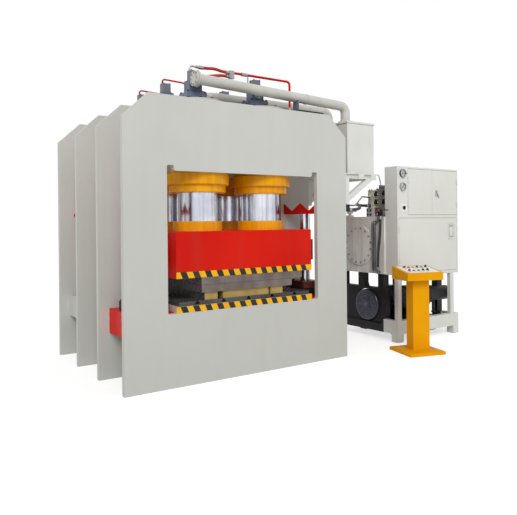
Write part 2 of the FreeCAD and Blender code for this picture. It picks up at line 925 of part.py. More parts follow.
def clamp_ring(row, side):
    """Return the stepped ring that clamps a ram's foot to the platen."""
    x, y = side * cylinder_half_spacing, gap_centre(row)
    ring_top = platen_top + clamp_ring_height
    step = platen_top + ram_foot_height + seat_gap
    profile = [(ram_foot_radius + seat_gap, platen_top),
               (clamp_ring_radius, platen_top),
               (clamp_ring_radius, ring_top - edge_chamfer),
               (clamp_ring_radius - edge_chamfer, ring_top),
               (ram_radius + seat_gap, ring_top),
               (ram_radius + seat_gap, step),
               (ram_foot_radius + seat_gap, step)]
    return turned(profile, x, y)


# ---------------------------------------------------------------- platen, table, guides
def guide_arm(row, side):
    """Return a guide arm with its bored boss, before boring."""
    y = gap_centre(row)
    root = platen_width / 2
    arm = block(root, guide_x, y - arm_width / 2, y + arm_width / 2, arm_bottom, arm_bottom + arm_height)
    boss = rod(arm_boss_radius, arm_height + 2 * arm_boss_margin,
               V(guide_x, y, arm_bottom - arm_boss_margin), Z_AXIS)
    reach = guide_x - arm_boss_radius
    gusset = prism([(root, y - arm_gusset_width / 2, arm_bottom),
                    (reach, y - arm_gusset_width / 2, arm_bottom),
                    (root, y - arm_gusset_width / 2, arm_bottom - arm_gusset_drop)],
                   V(0, arm_gusset_width, 0))
    shape = joined([arm, boss, gusset])
    return shape if side > 0 else shape.mirror(V(0, 0, 0), X_AXIS)


def platen():
    """Return the moving platen with its four bored guide arms."""
    half = platen_width / 2
    body = block(-half, half, -half_plate, press_rear, platen_bottom, platen_top)
    body = bevelled(body, platen_chamfer, lambda edge: is_along(edge, Z_AXIS)
                    or edge.CenterOfMass.z > platen_top - 1)
    arms = [guide_arm(row, side) for row in guide_rows for side in SIDES.values()]
    shape = joined([body] + arms)
    for row in guide_rows:
        for side in SIDES.values():
            bore = rod(column_radius + running_fit, platen_height,
                       V(side * guide_x, gap_centre(row), platen_bottom), Z_AXIS)
            shape = shape.cut(bore)
    return shape


def lower_table():
    """Return the welded table: slab, webs between the plates and four foot boxes."""
    half = platen_width / 2
    pieces = [block(-half, half, -half_plate, press_rear, window_bottom, table_top)]
    for row in range(plate_count - 1):
        y0 = plate_y(row) + half_plate + table_fit
        y1 = plate_y(row + 1) - half_plate - table_fit
        low = window_bottom - table_web_depth
        pieces.append(block(-half, half, y0, y1, low, window_bottom))
        if row in guide_rows:
            for x0, x1 in ((-foot_box_outer_x, -half), (half, foot_box_outer_x)):
                pieces.append(block(x0, x1, y0, y1, low, foot_box_top))
    return joined(pieces)


def guide_column(row, side):
    """Return a guide column on its foot flange and foot block."""
    x, y = side * guide_x, gap_centre(row)
    base = bevelled(centred_block(foot_block, x, y, foot_box_top), edge_chamfer,
                    lambda edge: is_along(edge, Z_AXIS))
    flange = centred_block(foot_flange, x, y, foot_box_top + foot_block[2])
    column_top = bracket_bottom + bracket_floor_height + column_top_margin
    shaft = rod(column_radius, column_top - foot_top, V(x, y, foot_top), Z_AXIS)
    return joined([base, flange, shaft])


# ---------------------------------------------------------------- tooling
def bolster_plate():
    """Return the bolster with T-slots from front to rear."""
    half = bolster_width / 2
    front = -half_plate + bolster_inset
    rear = press_rear - bolster_inset
    plate = block(-half, half, front, rear, table_top, bolster_top)
    for index in range(slot_count):
        x = (index - (slot_count - 1) / 2) * slot_spacing
        mouth_floor = bolster_top - slot_mouth_depth
        mouth = block(x - slot_mouth / 2, x + slot_mouth / 2, front, rear, mouth_floor, bolster_top)
        tee = block(x - slot_tee_width / 2, x + slot_tee_width / 2, front, rear,
                    mouth_floor - slot_tee_height, mouth_floor)
        plate = plate.cut(mouth.fuse(tee))
    return plate


def lower_die():
    """Return the lower die plate on its three risers."""
    front = -half_plate + die_front_inset
    rear = front + die_length
    riser_top = bolster_top + riser_height
    plate = block(-lower_die_half_width, lower_die_half_width, front, rear, riser_top, lower_die_top)
    risers = [block(x0, x1, front + riser_front_inset, rear - riser_front_inset, bolster_top, riser_top)
              for x0, x1 in riser_spans]
    return joined([plate] + risers)


def upper_die():
    """Return the upper die plate under the platen."""
    front = -half_plate + die_front_inset
    return block(upper_die_left, upper_die_right, front, front + die_length,
                 platen_bottom - upper_die_height, platen_bottom)


# ---------------------------------------------------------------- filling pipes
def valve_branch(x, y, z, direction, length):
    """Return a short flanged branch from a filling pipe to a valve neck."""
    stub = rod(branch_radius, length, V(x, y, z), direction)
    flange_start = V(x, y, z) + direction * (length - branch_flange_thickness)
    return [stub, rod(branch_flange_radius, branch_flange_thickness, flange_start, direction)]


def filling_pipe_front():
    """Return the front filling pipe with its branches, coupling, saddle and bridge bar."""
    y = front_pipe_y
    start = V(front_pipe_left_x, y, front_pipe_left_z)
    corner = V(front_drop_x, y, front_pipe_z(front_drop_x))
    run = (corner - start).normalize()
    pieces = [tube([tuple(start), tuple(corner), (front_drop_x, y, nozzle_top)],
                   front_pipe_radius, front_pipe_radius * pipe_bend_factor)]
    pieces.append(rod(blind_flange_radius, blind_flange_thickness, start, run * -1))
    neck_front = valve_y(0) - valve_neck[1] / 2
    for side in SIDES.values():
        x = valve_x(side)
        pieces += valve_branch(x, y, front_pipe_z(x), Y_AXIS, neck_front - y)
    coupling = V(coupling_x, y, front_pipe_z(coupling_x))
    pieces.append(rod(front_pipe_radius + coupling_margin, coupling_length, coupling, run))
    bridge_top = plate_height + bridge_height
    pieces.append(block(bridge_left_x, bridge_right_x, plate_y(0), plate_y(1) + half_plate,
                        plate_height, bridge_top))
    pieces.append(block(saddle_x - saddle_thickness / 2, saddle_x + saddle_thickness / 2,
                        y - saddle_width / 2, y + saddle_width / 2, bridge_top, front_pipe_z(saddle_x)))
    return joined(pieces)


def filling_pipe_rear():
    """Return the rear filling pipe, its header between the valves and its branches."""
    z = rear_pipe_z
    last_y = valve_y(2)
    bend = rear_pipe_radius * pipe_bend_factor
    pieces = [tube([(0, last_y, z), (0, rear_pipe_y, z), (rear_drop_x, rear_pipe_y, z),
                    (rear_drop_x, rear_pipe_y, nozzle_top)], rear_pipe_radius, bend)]
    for row in (1, 2):
        for side in SIDES.values():
            reach = abs(valve_x(side)) - valve_neck[0] / 2
            pieces += valve_branch(0, valve_y(row), z, X_AXIS * side, reach)
    post_y = plate_y(2)
    pieces.append(block(-rear_post[0] / 2, rear_post[0] / 2, post_y - rear_post[1] / 2,
                        post_y + rear_post[1] / 2, plate_height, z))
    return joined(pieces)


# ---------------------------------------------------------------- pilot lines
def pilot_pipe():
    """Return the rigid pilot pipe with its junction, coupling and landing pad."""
    y, z = pilot_y, pilot_z
    pad_base = plate_height + bridge_height
    body = centred_block(junction, junction_x, y, z - junction[2] + junction_top_rise)
    main = tube([(junction_x, y, z), (pilot_drop_x, y, z), (pilot_drop_x, y, pad_base + pilot_pad[2] / 2)],
                pilot_pipe_radius, pilot_pipe_bend)
    pad = centred_block(pilot_pad, pilot_drop_x, y, pad_base)
    coupling = rod(pilot_coupling_radius, pilot_coupling_length, V(pilot_coupling_x, y, z), X_AXIS)
    cover_rear = valve_y(0) + valve_cover[1] / 2
    landing_z = cover_base + valve_cover[2] / 2
    drop = tube([(pilot_landing_x, y, z), (pilot_landing_x, y, landing_z),
                 (pilot_landing_x, cover_rear + seat_gap, landing_z)],
                branch_tube_radius, branch_tube_bend)
    return joined([body, main, pad, coupling, drop])


def pilot_hoses():
    """Return the two flexible pilot hoses between the left valve and the junction."""
    left_face = junction_x - junction[0] / 2
    start = pilot_riser_top(0) + X_AXIS * pilot_union_reach
    end = V(left_face, pilot_y, pilot_z - upper_hose_drop)
    upper = [start, start + X_AXIS * upper_hose_lead, start + V(*upper_hose_crest),
             end - X_AXIS * upper_hose_tail, end]
    start = V(valve_x(-1) + valve_cover[0] / 2, valve_y(0), cover_base + lower_hose_rise)
    end = V(left_face, pilot_y, junction_port_z)
    lower = [start, start + X_AXIS * lower_hose_lead, start + V(*lower_hose_crest),
             end - X_AXIS * lower_hose_tail, end]
    return {"pilot_hose_upper": hose("pilot_hose_upper", upper, pilot_hose_radius),
            "pilot_hose_lower": hose("pilot_hose_lower", lower, pilot_hose_radius)}


# ---------------------------------------------------------------- overhead tank
def filling_tank():
    """Return the sheet-metal filling tank with its lid rim and two inlet nozzles."""
    outer = block(tank_left_x, tank_right_x, tank_front_y, tank_rear_y, tank_bottom, tank_top)
    lid = block(tank_left_x - tank_lid_overhang, tank_right_x + tank_lid_overhang,
                tank_front_y - tank_lid_overhang, tank_rear_y + tank_lid_overhang,
                tank_top - tank_lid_thickness, tank_top)
    pieces = [outer, lid]
    inlets = ((front_drop_x, front_pipe_y), (rear_drop_x, rear_pipe_y))
    pieces += [rod(nozzle_radius, nozzle_height, V(x, y, tank_top), Z_AXIS) for x, y in inlets]
    shape = joined(pieces)
    cavity = block(tank_left_x + tank_wall, tank_right_x - tank_wall, tank_front_y + tank_wall,
                   tank_rear_y - tank_wall, tank_bottom + tank_wall, tank_top - tank_lid_thickness)
    shape = shape.cut(cavity)
    for x, y in inlets:
        shape = shape.cut(rod(branch_radius, tank_height, V(x, y, tank_top - tank_lid_thickness), Z_AXIS))
    outlet = centred_block(return_outlet, return_outlet_x, tank_front_y - return_outlet[1] / 2,
                           return_z - return_outlet[2] / 2)
    return joined([shape, outlet])


def tank_bracket():
    """Return the welded bracket: a frame at each plate edge, two rails and a gusset."""
    edge = plate_edge
    channel_base = tank_bottom - channel_height
    foot_z = bracket_foot_z
    top_run = brace_height * brace_reach / brace_foot_drop
    half = channel_width / 2
    pieces = []
    for index in bracket_rows:
        y0 = plate_y(index) - half
        channel = block(edge, edge + channel_reach, y0, y0 + channel_width, channel_base, tank_bottom)
        groove = block(edge + channel_flange, edge + channel_reach, y0, y0 + half,
                       channel_base + channel_flange, tank_bottom - channel_flange)
        upright = block(edge, edge + upright_depth, y0, y0 + channel_width, foot_z, channel_base)
        brace = prism([(edge, y0, foot_z), (edge + brace_reach, y0, channel_base),
                       (edge + brace_reach - top_run, y0, channel_base),
                       (edge, y0, foot_z + brace_height)], V(0, channel_width, 0))
        pieces += [channel.cut(groove), upright, brace]
    gusset_y = plate_y(gusset_row) - gusset_thickness / 2
    pieces.append(prism([(edge, gusset_y, foot_z), (edge + brace_reach, gusset_y, channel_base),
                         (edge, gusset_y, channel_base)], V(0, gusset_thickness, 0)))
    rear = plate_y(bracket_rows[-1]) + half
    for x in (tank_left_x + rail_inset, edge + channel_reach - rail_width):
        pieces.append(block(x, x + rail_width, -half, rear, channel_base, tank_bottom))
    return joined(pieces)


def return_pipe():
    """Return the thin pipe from the tank's foot to the valve manifold's top port."""
    bend_x = tank_right_x + return_overrun
    return tube([(return_outlet_x + return_outlet[0] / 2, return_y, return_z), (bend_x, return_y, return_z),
                 (top_port_x, manifold_middle_y, top_port_top + return_tail_rise),
                 (top_port_x, manifold_middle_y, top_port_top)], return_radius, return_bend_radius)


# ---------------------------------------------------------------- reservoir
def reservoir():
    """Return the oil reservoir with its manhole, filter, side pipes and shut-off body."""
    front, rear = reservoir_front_y, reservoir_rear_y
    wall = reservoir_wall
    shell = block(reservoir_left_x, reservoir_right_x, front, rear, reservoir_bottom, reservoir_top)
    cavity = block(reservoir_left_x + wall, reservoir_right_x - wall, front + wall, rear - wall,
                   reservoir_bottom + wall, reservoir_top - wall)
    manhole = rod(manhole_radius, wall * 2, V(reservoir_left_x - wall / 2, manhole_y, manhole_z), X_AXIS)
    shell = shell.cut(cavity).cut(manhole)
    pieces = [shell] + return_filter()
    into_wall = reservoir_left_x + wall / 2
    for y in side_pipe_ys:
        points = [(into_wall, y, side_pipe_top), (side_pipe_x, y, side_pipe_top),
                  (side_pipe_x, y, side_pipe_bottom), (into_wall, y, side_pipe_bottom)]
        pieces.append(tube(points, side_pipe_radius, side_pipe_bend))
    body_base = shutoff_z - shutoff_body[2]
    stub_y = shutoff_y + shutoff_body[1]
    body_z = shutoff_z - shutoff_body[2] / 2
    pieces.append(tube([(into_wall, stub_y, shutoff_stub_z), (shutoff_x, stub_y, shutoff_stub_z),
                        (shutoff_x, stub_y, body_z), (shutoff_x, shutoff_y, body_z)],
                       shutoff_stub_radius, side_pipe_bend))
    pieces.append(centred_block(shutoff_body, shutoff_x, shutoff_y, body_base))
    elbow_base = side_pipe_bottom - elbow_height
    pieces.append(rod(elbow_radius, elbow_height, V(shutoff_x, drain_end_y, elbow_base), Z_AXIS))
    pieces.append(rod(side_pipe_radius, into_wall - shutoff_x,
                      V(shutoff_x, drain_end_y, elbow_base + elbow_height / 2), X_AXIS))
    stem_hole = rod(lever_stem_radius + control_fit, lever_stem_height,
                    V(shutoff_x, shutoff_y, shutoff_z - lever_stem_height), Z_AXIS)
    return joined(pieces).cut(stem_hole)


def return_filter():
    """Return the filter on the reservoir: foot, neck, head and a short side arm."""
    neck_z = reservoir_top + filter_foot[2]
    head_z = neck_z + filter_neck_height
    foot = centred_block(filter_foot, filter_x, filter_y, reservoir_top)
    neck = rod(filter_neck_radius, filter_neck_height, V(filter_x, filter_y, neck_z), Z_AXIS)
    head = centred_block(filter_head, filter_x, filter_y, head_z)
    arm = rod(filter_arm_radius, filter_arm_length, V(filter_x, filter_y, head_z + filter_head[2] / 2), X_AXIS)
    return [foot, neck, head, arm]


def manhole_cover():
    """Return the round manhole cover with its ring of bolt heads."""
    face_x = reservoir_left_x
    cover = rod(cover_radius, cover_thickness, V(face_x - cover_thickness, manhole_y, manhole_z), X_AXIS)
    heads = []
    for index in range(cover_bolt_count):
        turn = 2 * math.pi * (index + 0.5) / cover_bolt_count
        y = manhole_y + cover_bolt_pitch_radius * math.cos(turn)
        z = manhole_z + cover_bolt_pitch_radius * math.sin(turn)
        corners = [(face_x - cover_thickness - cover_bolt_height,
                    y + cover_bolt_radius * math.cos(math.pi * side / 3),
                    z + cover_bolt_radius * math.sin(math.pi * side / 3)) for side in range(6)]
        heads.append(prism(corners, V(cover_bolt_height, 0, 0)))
    return joined([cover] + heads)


def valve_lever():
    """Return the shut-off valve's lever with its stem."""
    stem_height = lever_stem_height * 2 + seat_gap
    stem = rod(lever_stem_radius, stem_height, V(shutoff_x, shutoff_y, shutoff_z - lever_stem_height
                                                 + seat_gap), Z_AXIS)
    bar_base = shutoff_z + lever_stem_height
    bar = block(shutoff_x - lever_width / 2, shutoff_x + lever_width / 2,
                shutoff_y - lever_length, shutoff_y + lever_width / 2, bar_base, bar_base + lever_thickness)
    return joined([stem, bar])


# ---------------------------------------------------------------- manifold and hoses
def valve_stack(left, width, top):
    """Return one stack of valves on the manifold block, with its coils front and rear."""
    y = manifold_middle_y
    pieces = [block(left, left + width, y - stack_half_depth, y + stack_half_depth, manifold_top, top)]
    reach = stack_half_depth + coil_length
    for level in coil_levels:
        z = manifold_top + (top - manifold_top) * level
        pieces.append(rod(coil_radius, 2 * reach, V(left + width / 2, y - reach, z), Y_AXIS))
    return pieces


def link_tube():
    """Return the bent tube from the manifold to the bulkhead block on the front frame plate."""
    start = V(left_stack_x, manifold_middle_y, link_port_z)
    end = V(bulkhead_face_x, plate_y(0), bulkhead_z + link_port_rise)
    points = [start, start + V(*link_crest), end + V(*link_shoulder), end + X_AXIS * link_tail, end]
    return tube(points, link_radius, link_bend)


def valve_manifold():
    """Return the valve manifold with its valve stacks, relief block, ports and link tube."""
    y0, y1 = manifold_y
    relief_x = manifold_left_x + relief_inset
    relief_z = reservoir_top + relief_rise
    relief = block(relief_x, relief_x + relief_block[0], y0 - relief_block[1], y0,
                   relief_z, relief_z + relief_block[2])
    knob = rod(relief_knob_radius, relief_knob_length,
               V(relief_x + relief_block[0] / 2, y0 - relief_block[1] - relief_knob_length,
                 relief_z + relief_block[2] / 2), Y_AXIS)
    pieces = [block(manifold_left_x, manifold_left_x + manifold_width, y0, y1, reservoir_top, manifold_top),
              relief, knob, link_tube()]
    pieces += valve_stack(left_stack_x, left_stack_width, left_stack_top)
    pieces += valve_stack(right_stack_x, right_stack_width, right_stack_top)
    for x in (top_port_x, top_port_x + top_port_spacing):
        pieces.append(rod(top_port_radius, top_port_height + top_port_sink,
                          V(x, manifold_middle_y, right_stack_top - top_port_sink), Z_AXIS))
    pieces.append(rod(port_radius, port_length + port_sink,
                      V(left_stack_x - port_length, manifold_middle_y, pressure_port_z), X_AXIS))
    return joined(pieces)


def free_hoses():
    """Return the pressure hose to the press frame and the drain hose down the reservoir."""
    start = V(left_stack_x - port_length, manifold_middle_y, pressure_port_z)
    end = V(bulkhead_face_x, plate_y(0), bulkhead_z - pressure_port_drop)
    pressure = [start, start - X_AXIS * pressure_hose_lead, start + V(*pressure_hose_bend),
                end + X_AXIS * pressure_hose_tail, end]
    drain = [V(shutoff_x, shutoff_y, shutoff_z - shutoff_body[2]),
             V(shutoff_x, shutoff_y, shutoff_z - shutoff_body[2] - drain_hose_lead),
             V(shutoff_x, drain_end_y, side_pipe_bottom + drain_hose_tail),
             V(shutoff_x, drain_end_y, side_pipe_bottom)]
    return {"pressure_hose": hose("pressure_hose", pressure, pressure_hose_radius),
            "drain_hose": hose("drain_hose", drain, drain_hose_radius)}


# ---------------------------------------------------------------- cabinet
def door_spans():
    """Return each door's opening (x0, x1, z0, z1) and the side that it is hinged on."""
    left = cabinet_left_x + gauge_strip_width
    right = cabinet_right_x - upper_door_margin
    split = upper_door_split
    return {"cabinet_left_door": (left, split, upper_door_bottom, upper_door_top, -1),
            "cabinet_right_door": (split, right, upper_door_bottom, upper_door_top, 1),
            "cabinet_lower_door": (cabinet_left_x + lower_door_margin, cabinet_right_x - lower_door_margin,
                                   lower_door_bottom, lower_door_top, -1)}


def hinge_axis_x(span):
    """Return the X of a door's hinge axis, in the gap beside its hinged edge."""
    x0, x1, low, high, side = span
    return x1 - door_gap / 2 if side > 0 else x0 + door_gap / 2


def hinge_heights(span):
    """Return the heights of a door's two hinges."""
    return span[2] + hinge_inset, span[3] - hinge_inset - 2 * hinge_knuckle_length


def hinge_half(span, z, on_door):
    """Return one hinge's leaf and knuckle, for the door or for the cabinet."""
    x = hinge_axis_x(span)
    y = cabinet_front_y - hinge_stand_off
    base = z + hinge_knuckle_length if on_door else z
    away = -span[4] if on_door else span[4]
    reach = door_gap / 2 + hinge_leaf_width
    knuckle = rod(hinge_knuckle_radius, hinge_knuckle_length, V(x, y, base), Z_AXIS)
    leaf_x0, leaf_x1 = sorted((x + away * hinge_web_inner, x + away * reach))
    leaf = block(leaf_x0, leaf_x1, cabinet_front_y - hinge_leaf_thickness, cabinet_front_y,
                 base, base + hinge_knuckle_length)
    web_x0, web_x1 = sorted((x + away * hinge_web_inner, x + away * hinge_web_outer))
    web = block(web_x0, web_x1, y, cabinet_front_y, base, base + hinge_knuckle_length)
    return [knuckle, leaf, web]


def hinge_pin(span, z):
    """Return a hinge's pin, which the cabinet's knuckle carries."""
    return rod(hinge_pin_radius, 2 * hinge_knuckle_length,
               V(hinge_axis_x(span), cabinet_front_y - hinge_stand_off, z), Z_AXIS)


def gauge_case(z):
    """Return a round gauge case with a recessed dial and a spindle."""
    front = cabinet_front_y - gauge_depth
    case = rod(gauge_radius, gauge_depth, V(gauge_x, front, z), Y_AXIS)
    recess = rod(gauge_face_radius, gauge_recess, V(gauge_x, front, z), Y_AXIS)
    spindle = rod(gauge_spindle_radius, gauge_recess - needle_stand_off,
                  V(gauge_x, front + needle_stand_off, z), Y_AXIS)
    return joined([case.cut(recess), spindle])


def switchgear():
    """Return the mounting plates with their rows of switchgear inside the cabinet."""
    rear = cabinet_rear_y - cabinet_skin
    face = rear - mounting_plate_stand_off - mounting_plate_thickness
    left = cabinet_left_x + mounting_plate_margin
    right = cabinet_right_x - mounting_plate_margin
    rib_left = (left + right - mounting_rib_width) / 2
    bays = ((cabinet_bottom + mounting_plate_margin, cabinet_shelf_z - mounting_plate_margin),
            (cabinet_shelf_z + mounting_plate_margin, cabinet_top - mounting_plate_margin))
    pieces = []
    for low, high in bays:
        pieces.append(block(left, right, face, face + mounting_plate_thickness, low, high))
        pieces.append(block(rib_left, rib_left + mounting_rib_width, face + mounting_plate_thickness, rear,
                            low + mounting_rib_inset, high - mounting_rib_inset))
        for level, width, height, depth in switch_rows:
            z = low + (high - low) * level
            count = int((right - left) / (switch_pitch_share * width))
            pitch = (right - left) / count
            for index in range(count):
                x = left + (index + 0.5) * pitch
                pieces.append(block(x - width / 2, x + width / 2, face - depth, face, z, z + height))
    return pieces


def cabinet():
    """Return the cabinet body: shell, shelf, gauges, lamp, hinge halves and switchgear."""
    x0, x1 = cabinet_left_x, cabinet_right_x
    y0, y1 = cabinet_front_y, cabinet_rear_y
    skin = cabinet_skin
    shell = block(x0, x1, y0, y1, cabinet_bottom, cabinet_top)
    for low, high in ((cabinet_bottom + skin, cabinet_shelf_z), (cabinet_shelf_z + skin, cabinet_top - skin)):
        shell = shell.cut(block(x0 + skin, x1 - skin, y0 + skin, y1 - skin, low, high))
    spans = door_spans()
    upper_left, upper_right = spans["cabinet_left_door"], spans["cabinet_right_door"]
    openings = [(upper_left[0], upper_right[1], upper_left[2], upper_left[3]),
                spans["cabinet_lower_door"][:4]]
    for left, right, low, high in openings:
        shell = shell.cut(block(left, right, y0, y0 + skin, low, high))
    pieces = [shell] + [gauge_case(z) for z in gauge_zs.values()] + switchgear()
    for span in spans.values():
        for z in hinge_heights(span):
            pieces += hinge_half(span, z, False) + [hinge_pin(span, z)]
    plate_w, plate_h = selector_plate
    pieces.append(block(selector_x - plate_w / 2, selector_x + plate_w / 2,
                        y0 - selector_plate_thickness, y0, selector_z - plate_h / 2, selector_z + plate_h / 2))
    pieces.append(rod(lamp_radius, lamp_height, V(lamp_x, y0 - lamp_height, gauge_zs["upper"]), Y_AXIS))
    shaft_hole = rod(selector_shaft_radius + control_fit, skin + selector_plate_thickness,
                     V(selector_x, y0 - selector_plate_thickness, selector_z), Y_AXIS)
    return joined(pieces).cut(shaft_hole)


def cabinet_door(name):
    """Return a tray-shaped door with its hinge halves and, where it has one, its pull."""
    span = door_spans()[name]
    x0, x1, low, high, side = span
    left, right = x0 + door_gap, x1 - door_gap
    if name == "cabinet_left_door":
        right = x1 - door_gap / 2
    if name == "cabinet_right_door":
        left = x0 + door_gap / 2
    front = cabinet_front_y
    tray = block(left, right, front, front + door_depth, low + door_gap, high - door_gap)
    pocket = block(left + door_skin, right - door_skin, front + door_skin, front + door_depth,
                   low + door_gap + door_skin, high - door_gap - door_skin)
    pieces = [tray.cut(pocket)]
    for z in hinge_heights(span):
        pieces += hinge_half(span, z, True)
    if name == "cabinet_lower_door":
        rim = block(pull_left_x, pull_right_x, front - pull_stand_off, front, pull_bottom, pull_top)
        dish = block(pull_left_x + pull_rim, pull_right_x - pull_rim, front - pull_stand_off,
                     front - pull_stand_off + pull_dish_depth, pull_bottom + pull_rim, pull_top - pull_rim)
        pieces.append(rim.cut(dish))
    shape = joined(pieces)
    for z in hinge_heights(span):
        bore = rod(hinge_pin_radius + hinge_pin_fit, hinge_knuckle_length,
                   V(hinge_axis_x(span), front - hinge_stand_off, z + hinge_knuckle_length), Z_AXIS)
        shape = shape.cut(bore)
    if name == "cabinet_right_door":
        shape = shape.cut(rod(handle_shaft_radius + control_fit, door_skin, V(handle_x, front, handle_z), Y_AXIS))
    return shape


def door_handle():
    """Return the lever handle of the right-hand upper door, with its shaft."""
    front = cabinet_front_y
    shaft = rod(handle_shaft_radius, door_depth + handle_rose_height, V(handle_x, front - handle_rose_height,
                                                                        handle_z), Y_AXIS)
    rose_y = front - seat_gap - handle_rose_height
    rose = rod(handle_rose_radius, handle_rose_height, V(handle_x, rose_y, handle_z), Y_AXIS)
    grip = block(handle_x - handle_width / 2, handle_x + handle_length, rose_y - handle_thickness, rose_y,
                 handle_z - handle_width / 2, handle_z + handle_width / 2)
    grip.rotate(V(handle_x, 0, handle_z), Y_AXIS, -handle_angle)
    return joined([shaft, rose, grip])


def gauge_needle(z):
    """Return a gauge needle, bored for its spindle, pointing at the start of the scale."""
    front = cabinet_front_y - gauge_depth + needle_stand_off
    hub = rod(needle_hub_radius, needle_thickness, V(gauge_x, front, z), Y_AXIS)
    half = needle_half_width
    blade = prism([(gauge_x - half, front, z - needle_tail), (gauge_x + half, front, z - needle_tail),
                   (gauge_x, front, z + needle_length)], V(0, needle_thickness, 0))
    blade.rotate(V(gauge_x, 0, z), Y_AXIS, -needle_start_angle)
    bore = rod(gauge_spindle_radius + control_fit, needle_thickness, V(gauge_x, front, z), Y_AXIS)
    return joined([hub, blade]).cut(bore)


def mode_selector():
    """Return the rotary selector on the cabinet's gauge strip."""
    face = cabinet_front_y - selector_plate_thickness - seat_gap
    shaft = rod(selector_shaft_radius, cabinet_skin + selector_plate_thickness + selector_shaft_reach,
                V(selector_x, face - selector_shaft_start, selector_z), Y_AXIS)
    disc = rod(selector_radius, selector_height, V(selector_x, face - selector_height, selector_z), Y_AXIS)
    grip_front = face - selector_height - selector_grip_height
    grip = block(selector_x - selector_grip_width / 2, selector_x + selector_grip_width / 2, grip_front,
                 face - selector_height, selector_z - selector_radius, selector_z + selector_radius)
    return joined([shaft, disc, grip])


def cabinet_stand():
    """Return the cabinet's stand: two legs, a channel beam, side beams and feet."""
    x0, x1 = cabinet_left_x - stand_left_overhang, cabinet_right_x
    y0 = cabinet_front_y
    low, high = stand_floor_gap, stand_beam_top
    beam = block(x0, x1, y0, y0 + stand_beam_depth, low, high)
    wall = stand_beam_wall
    hollow = block(x0, x1, y0 + wall, y0 + stand_beam_depth, low + wall, high - wall)
    pieces = [beam.cut(hollow)]
    for x in (x0, x1 - stand_side_width):
        pieces.append(block(x, x + stand_side_width, y0 + wall, y0 + stand_side_depth, low, high))
    for x in (x0, x1 - right_leg_inset - stand_leg_width):
        pieces.append(block(x, x + stand_leg_width, y0, y0 + stand_leg_depth, high, cabinet_bottom))
    for x in (x0, x1 - stand_foot[0]):
        pieces.append(block(x, x + stand_foot[0], y0, y0 + stand_foot[1], 0, low))
    return joined(pieces)


# ---------------------------------------------------------------- power base and motors
def power_base():
    """Return the motor base: skid, deck, end plate, top rail, posts, shelf and pads."""
    x0, x1 = base_left_x, base_right_x
    y0, y1 = base_front_y, base_rear_y
    low, deck_top = base_floor_gap, base_deck_z
    deck_base = deck_top - base_deck_thickness
    wide = base_beam_width
    pieces = [block(x0, x1, y0, y1, deck_base, deck_top)]
    for y in (y0, y1 - wide):
        pieces.append(block(x0, x1, y, y + wide, low, base_beam_top))
    for x in (x0, x1 - wide):
        pieces.append(block(x, x + wide, y0, y1, low, deck_base))
    plate_x = x0 + end_plate_inset
    end_plate = block(plate_x, plate_x + end_plate_thickness, y0, y1, deck_top, base_rail_bottom)
    fan_hole = rod(main_cowl_radius + fan_hole_margin, end_plate_thickness,
                   V(plate_x, main_motor_y, main_motor_z), X_AXIS)
    pieces.append(end_plate.cut(fan_hole))
    pieces.append(block(x0, x0 + base_post_size, y0, y1, base_rail_bottom, base_rail_top))
    post = base_post_size
    post_ys = [y0 + inset for inset in base_post_insets]
    for y in post_ys:
        pieces.append(block(x0, x0 + post, y, y + post, base_rail_top, reservoir_bottom))
        pieces.append(block(x1 - post, x1, y, y + post, deck_top, reservoir_bottom))
    pieces.append(block(x0 + end_plate_inset, x0 + post, y0, y0 + post / 2, deck_top, base_rail_bottom))
    pieces.append(block(x0 + end_plate_inset, x0 + post, y1 - post / 2, y1, deck_top, base_rail_bottom))
    top_y = post_ys[1] - base_strip_gap
    foot_y = top_y - base_strip_lean
    pieces.append(prism([(x0, top_y, reservoir_bottom), (x0, top_y - base_strip_width, reservoir_bottom),
                         (x0, foot_y - base_strip_width, base_rail_top), (x0, foot_y, base_rail_top)],
                        V(base_strip_thickness, 0, 0)))
    shelf_front = cabinet_front_y + stand_beam_depth + shelf_gap
    pieces.append(block(shelf_left_x, shelf_left_x + shelf_width, shelf_front, y0 + wide,
                        base_beam_top, shelf_top))
    pad = (base_pad_size, base_pad_size, deck_base)
    for x in base_pad_insets_x:
        for y in base_pad_insets_y:
            pieces.append(centred_block(pad, x0 + x, y0 + y, 0))
    return joined(pieces)


def ribbed_body(x0, x1, y, z, radius):
    """Return a motor body with straight cooling ribs along its length."""
    pieces = [rod(radius, x1 - x0, V(x0, y, z), X_AXIS)]
    for index in range(motor_rib_count):
        rib = block(x0, x1, y - motor_rib_width / 2, y + motor_rib_width / 2, z + radius - motor_rib_root,
                    z + radius + motor_rib_height)
        rib.rotate(V(0, y, z), X_AXIS, 360 / motor_rib_count * index)
        pieces.append(rib)
    return pieces


def fan_cowl(x, y, z, radius, length, rounding):
    """Return a motor's fan cowl with a rounded front rim."""
    cowl = rod(radius, length, V(x, y, z), X_AXIS)
    rim = [edge for edge in cowl.Edges if edge.CenterOfMass.x < x + rounding / 2]
    return cowl.makeFillet(rounding, rim)


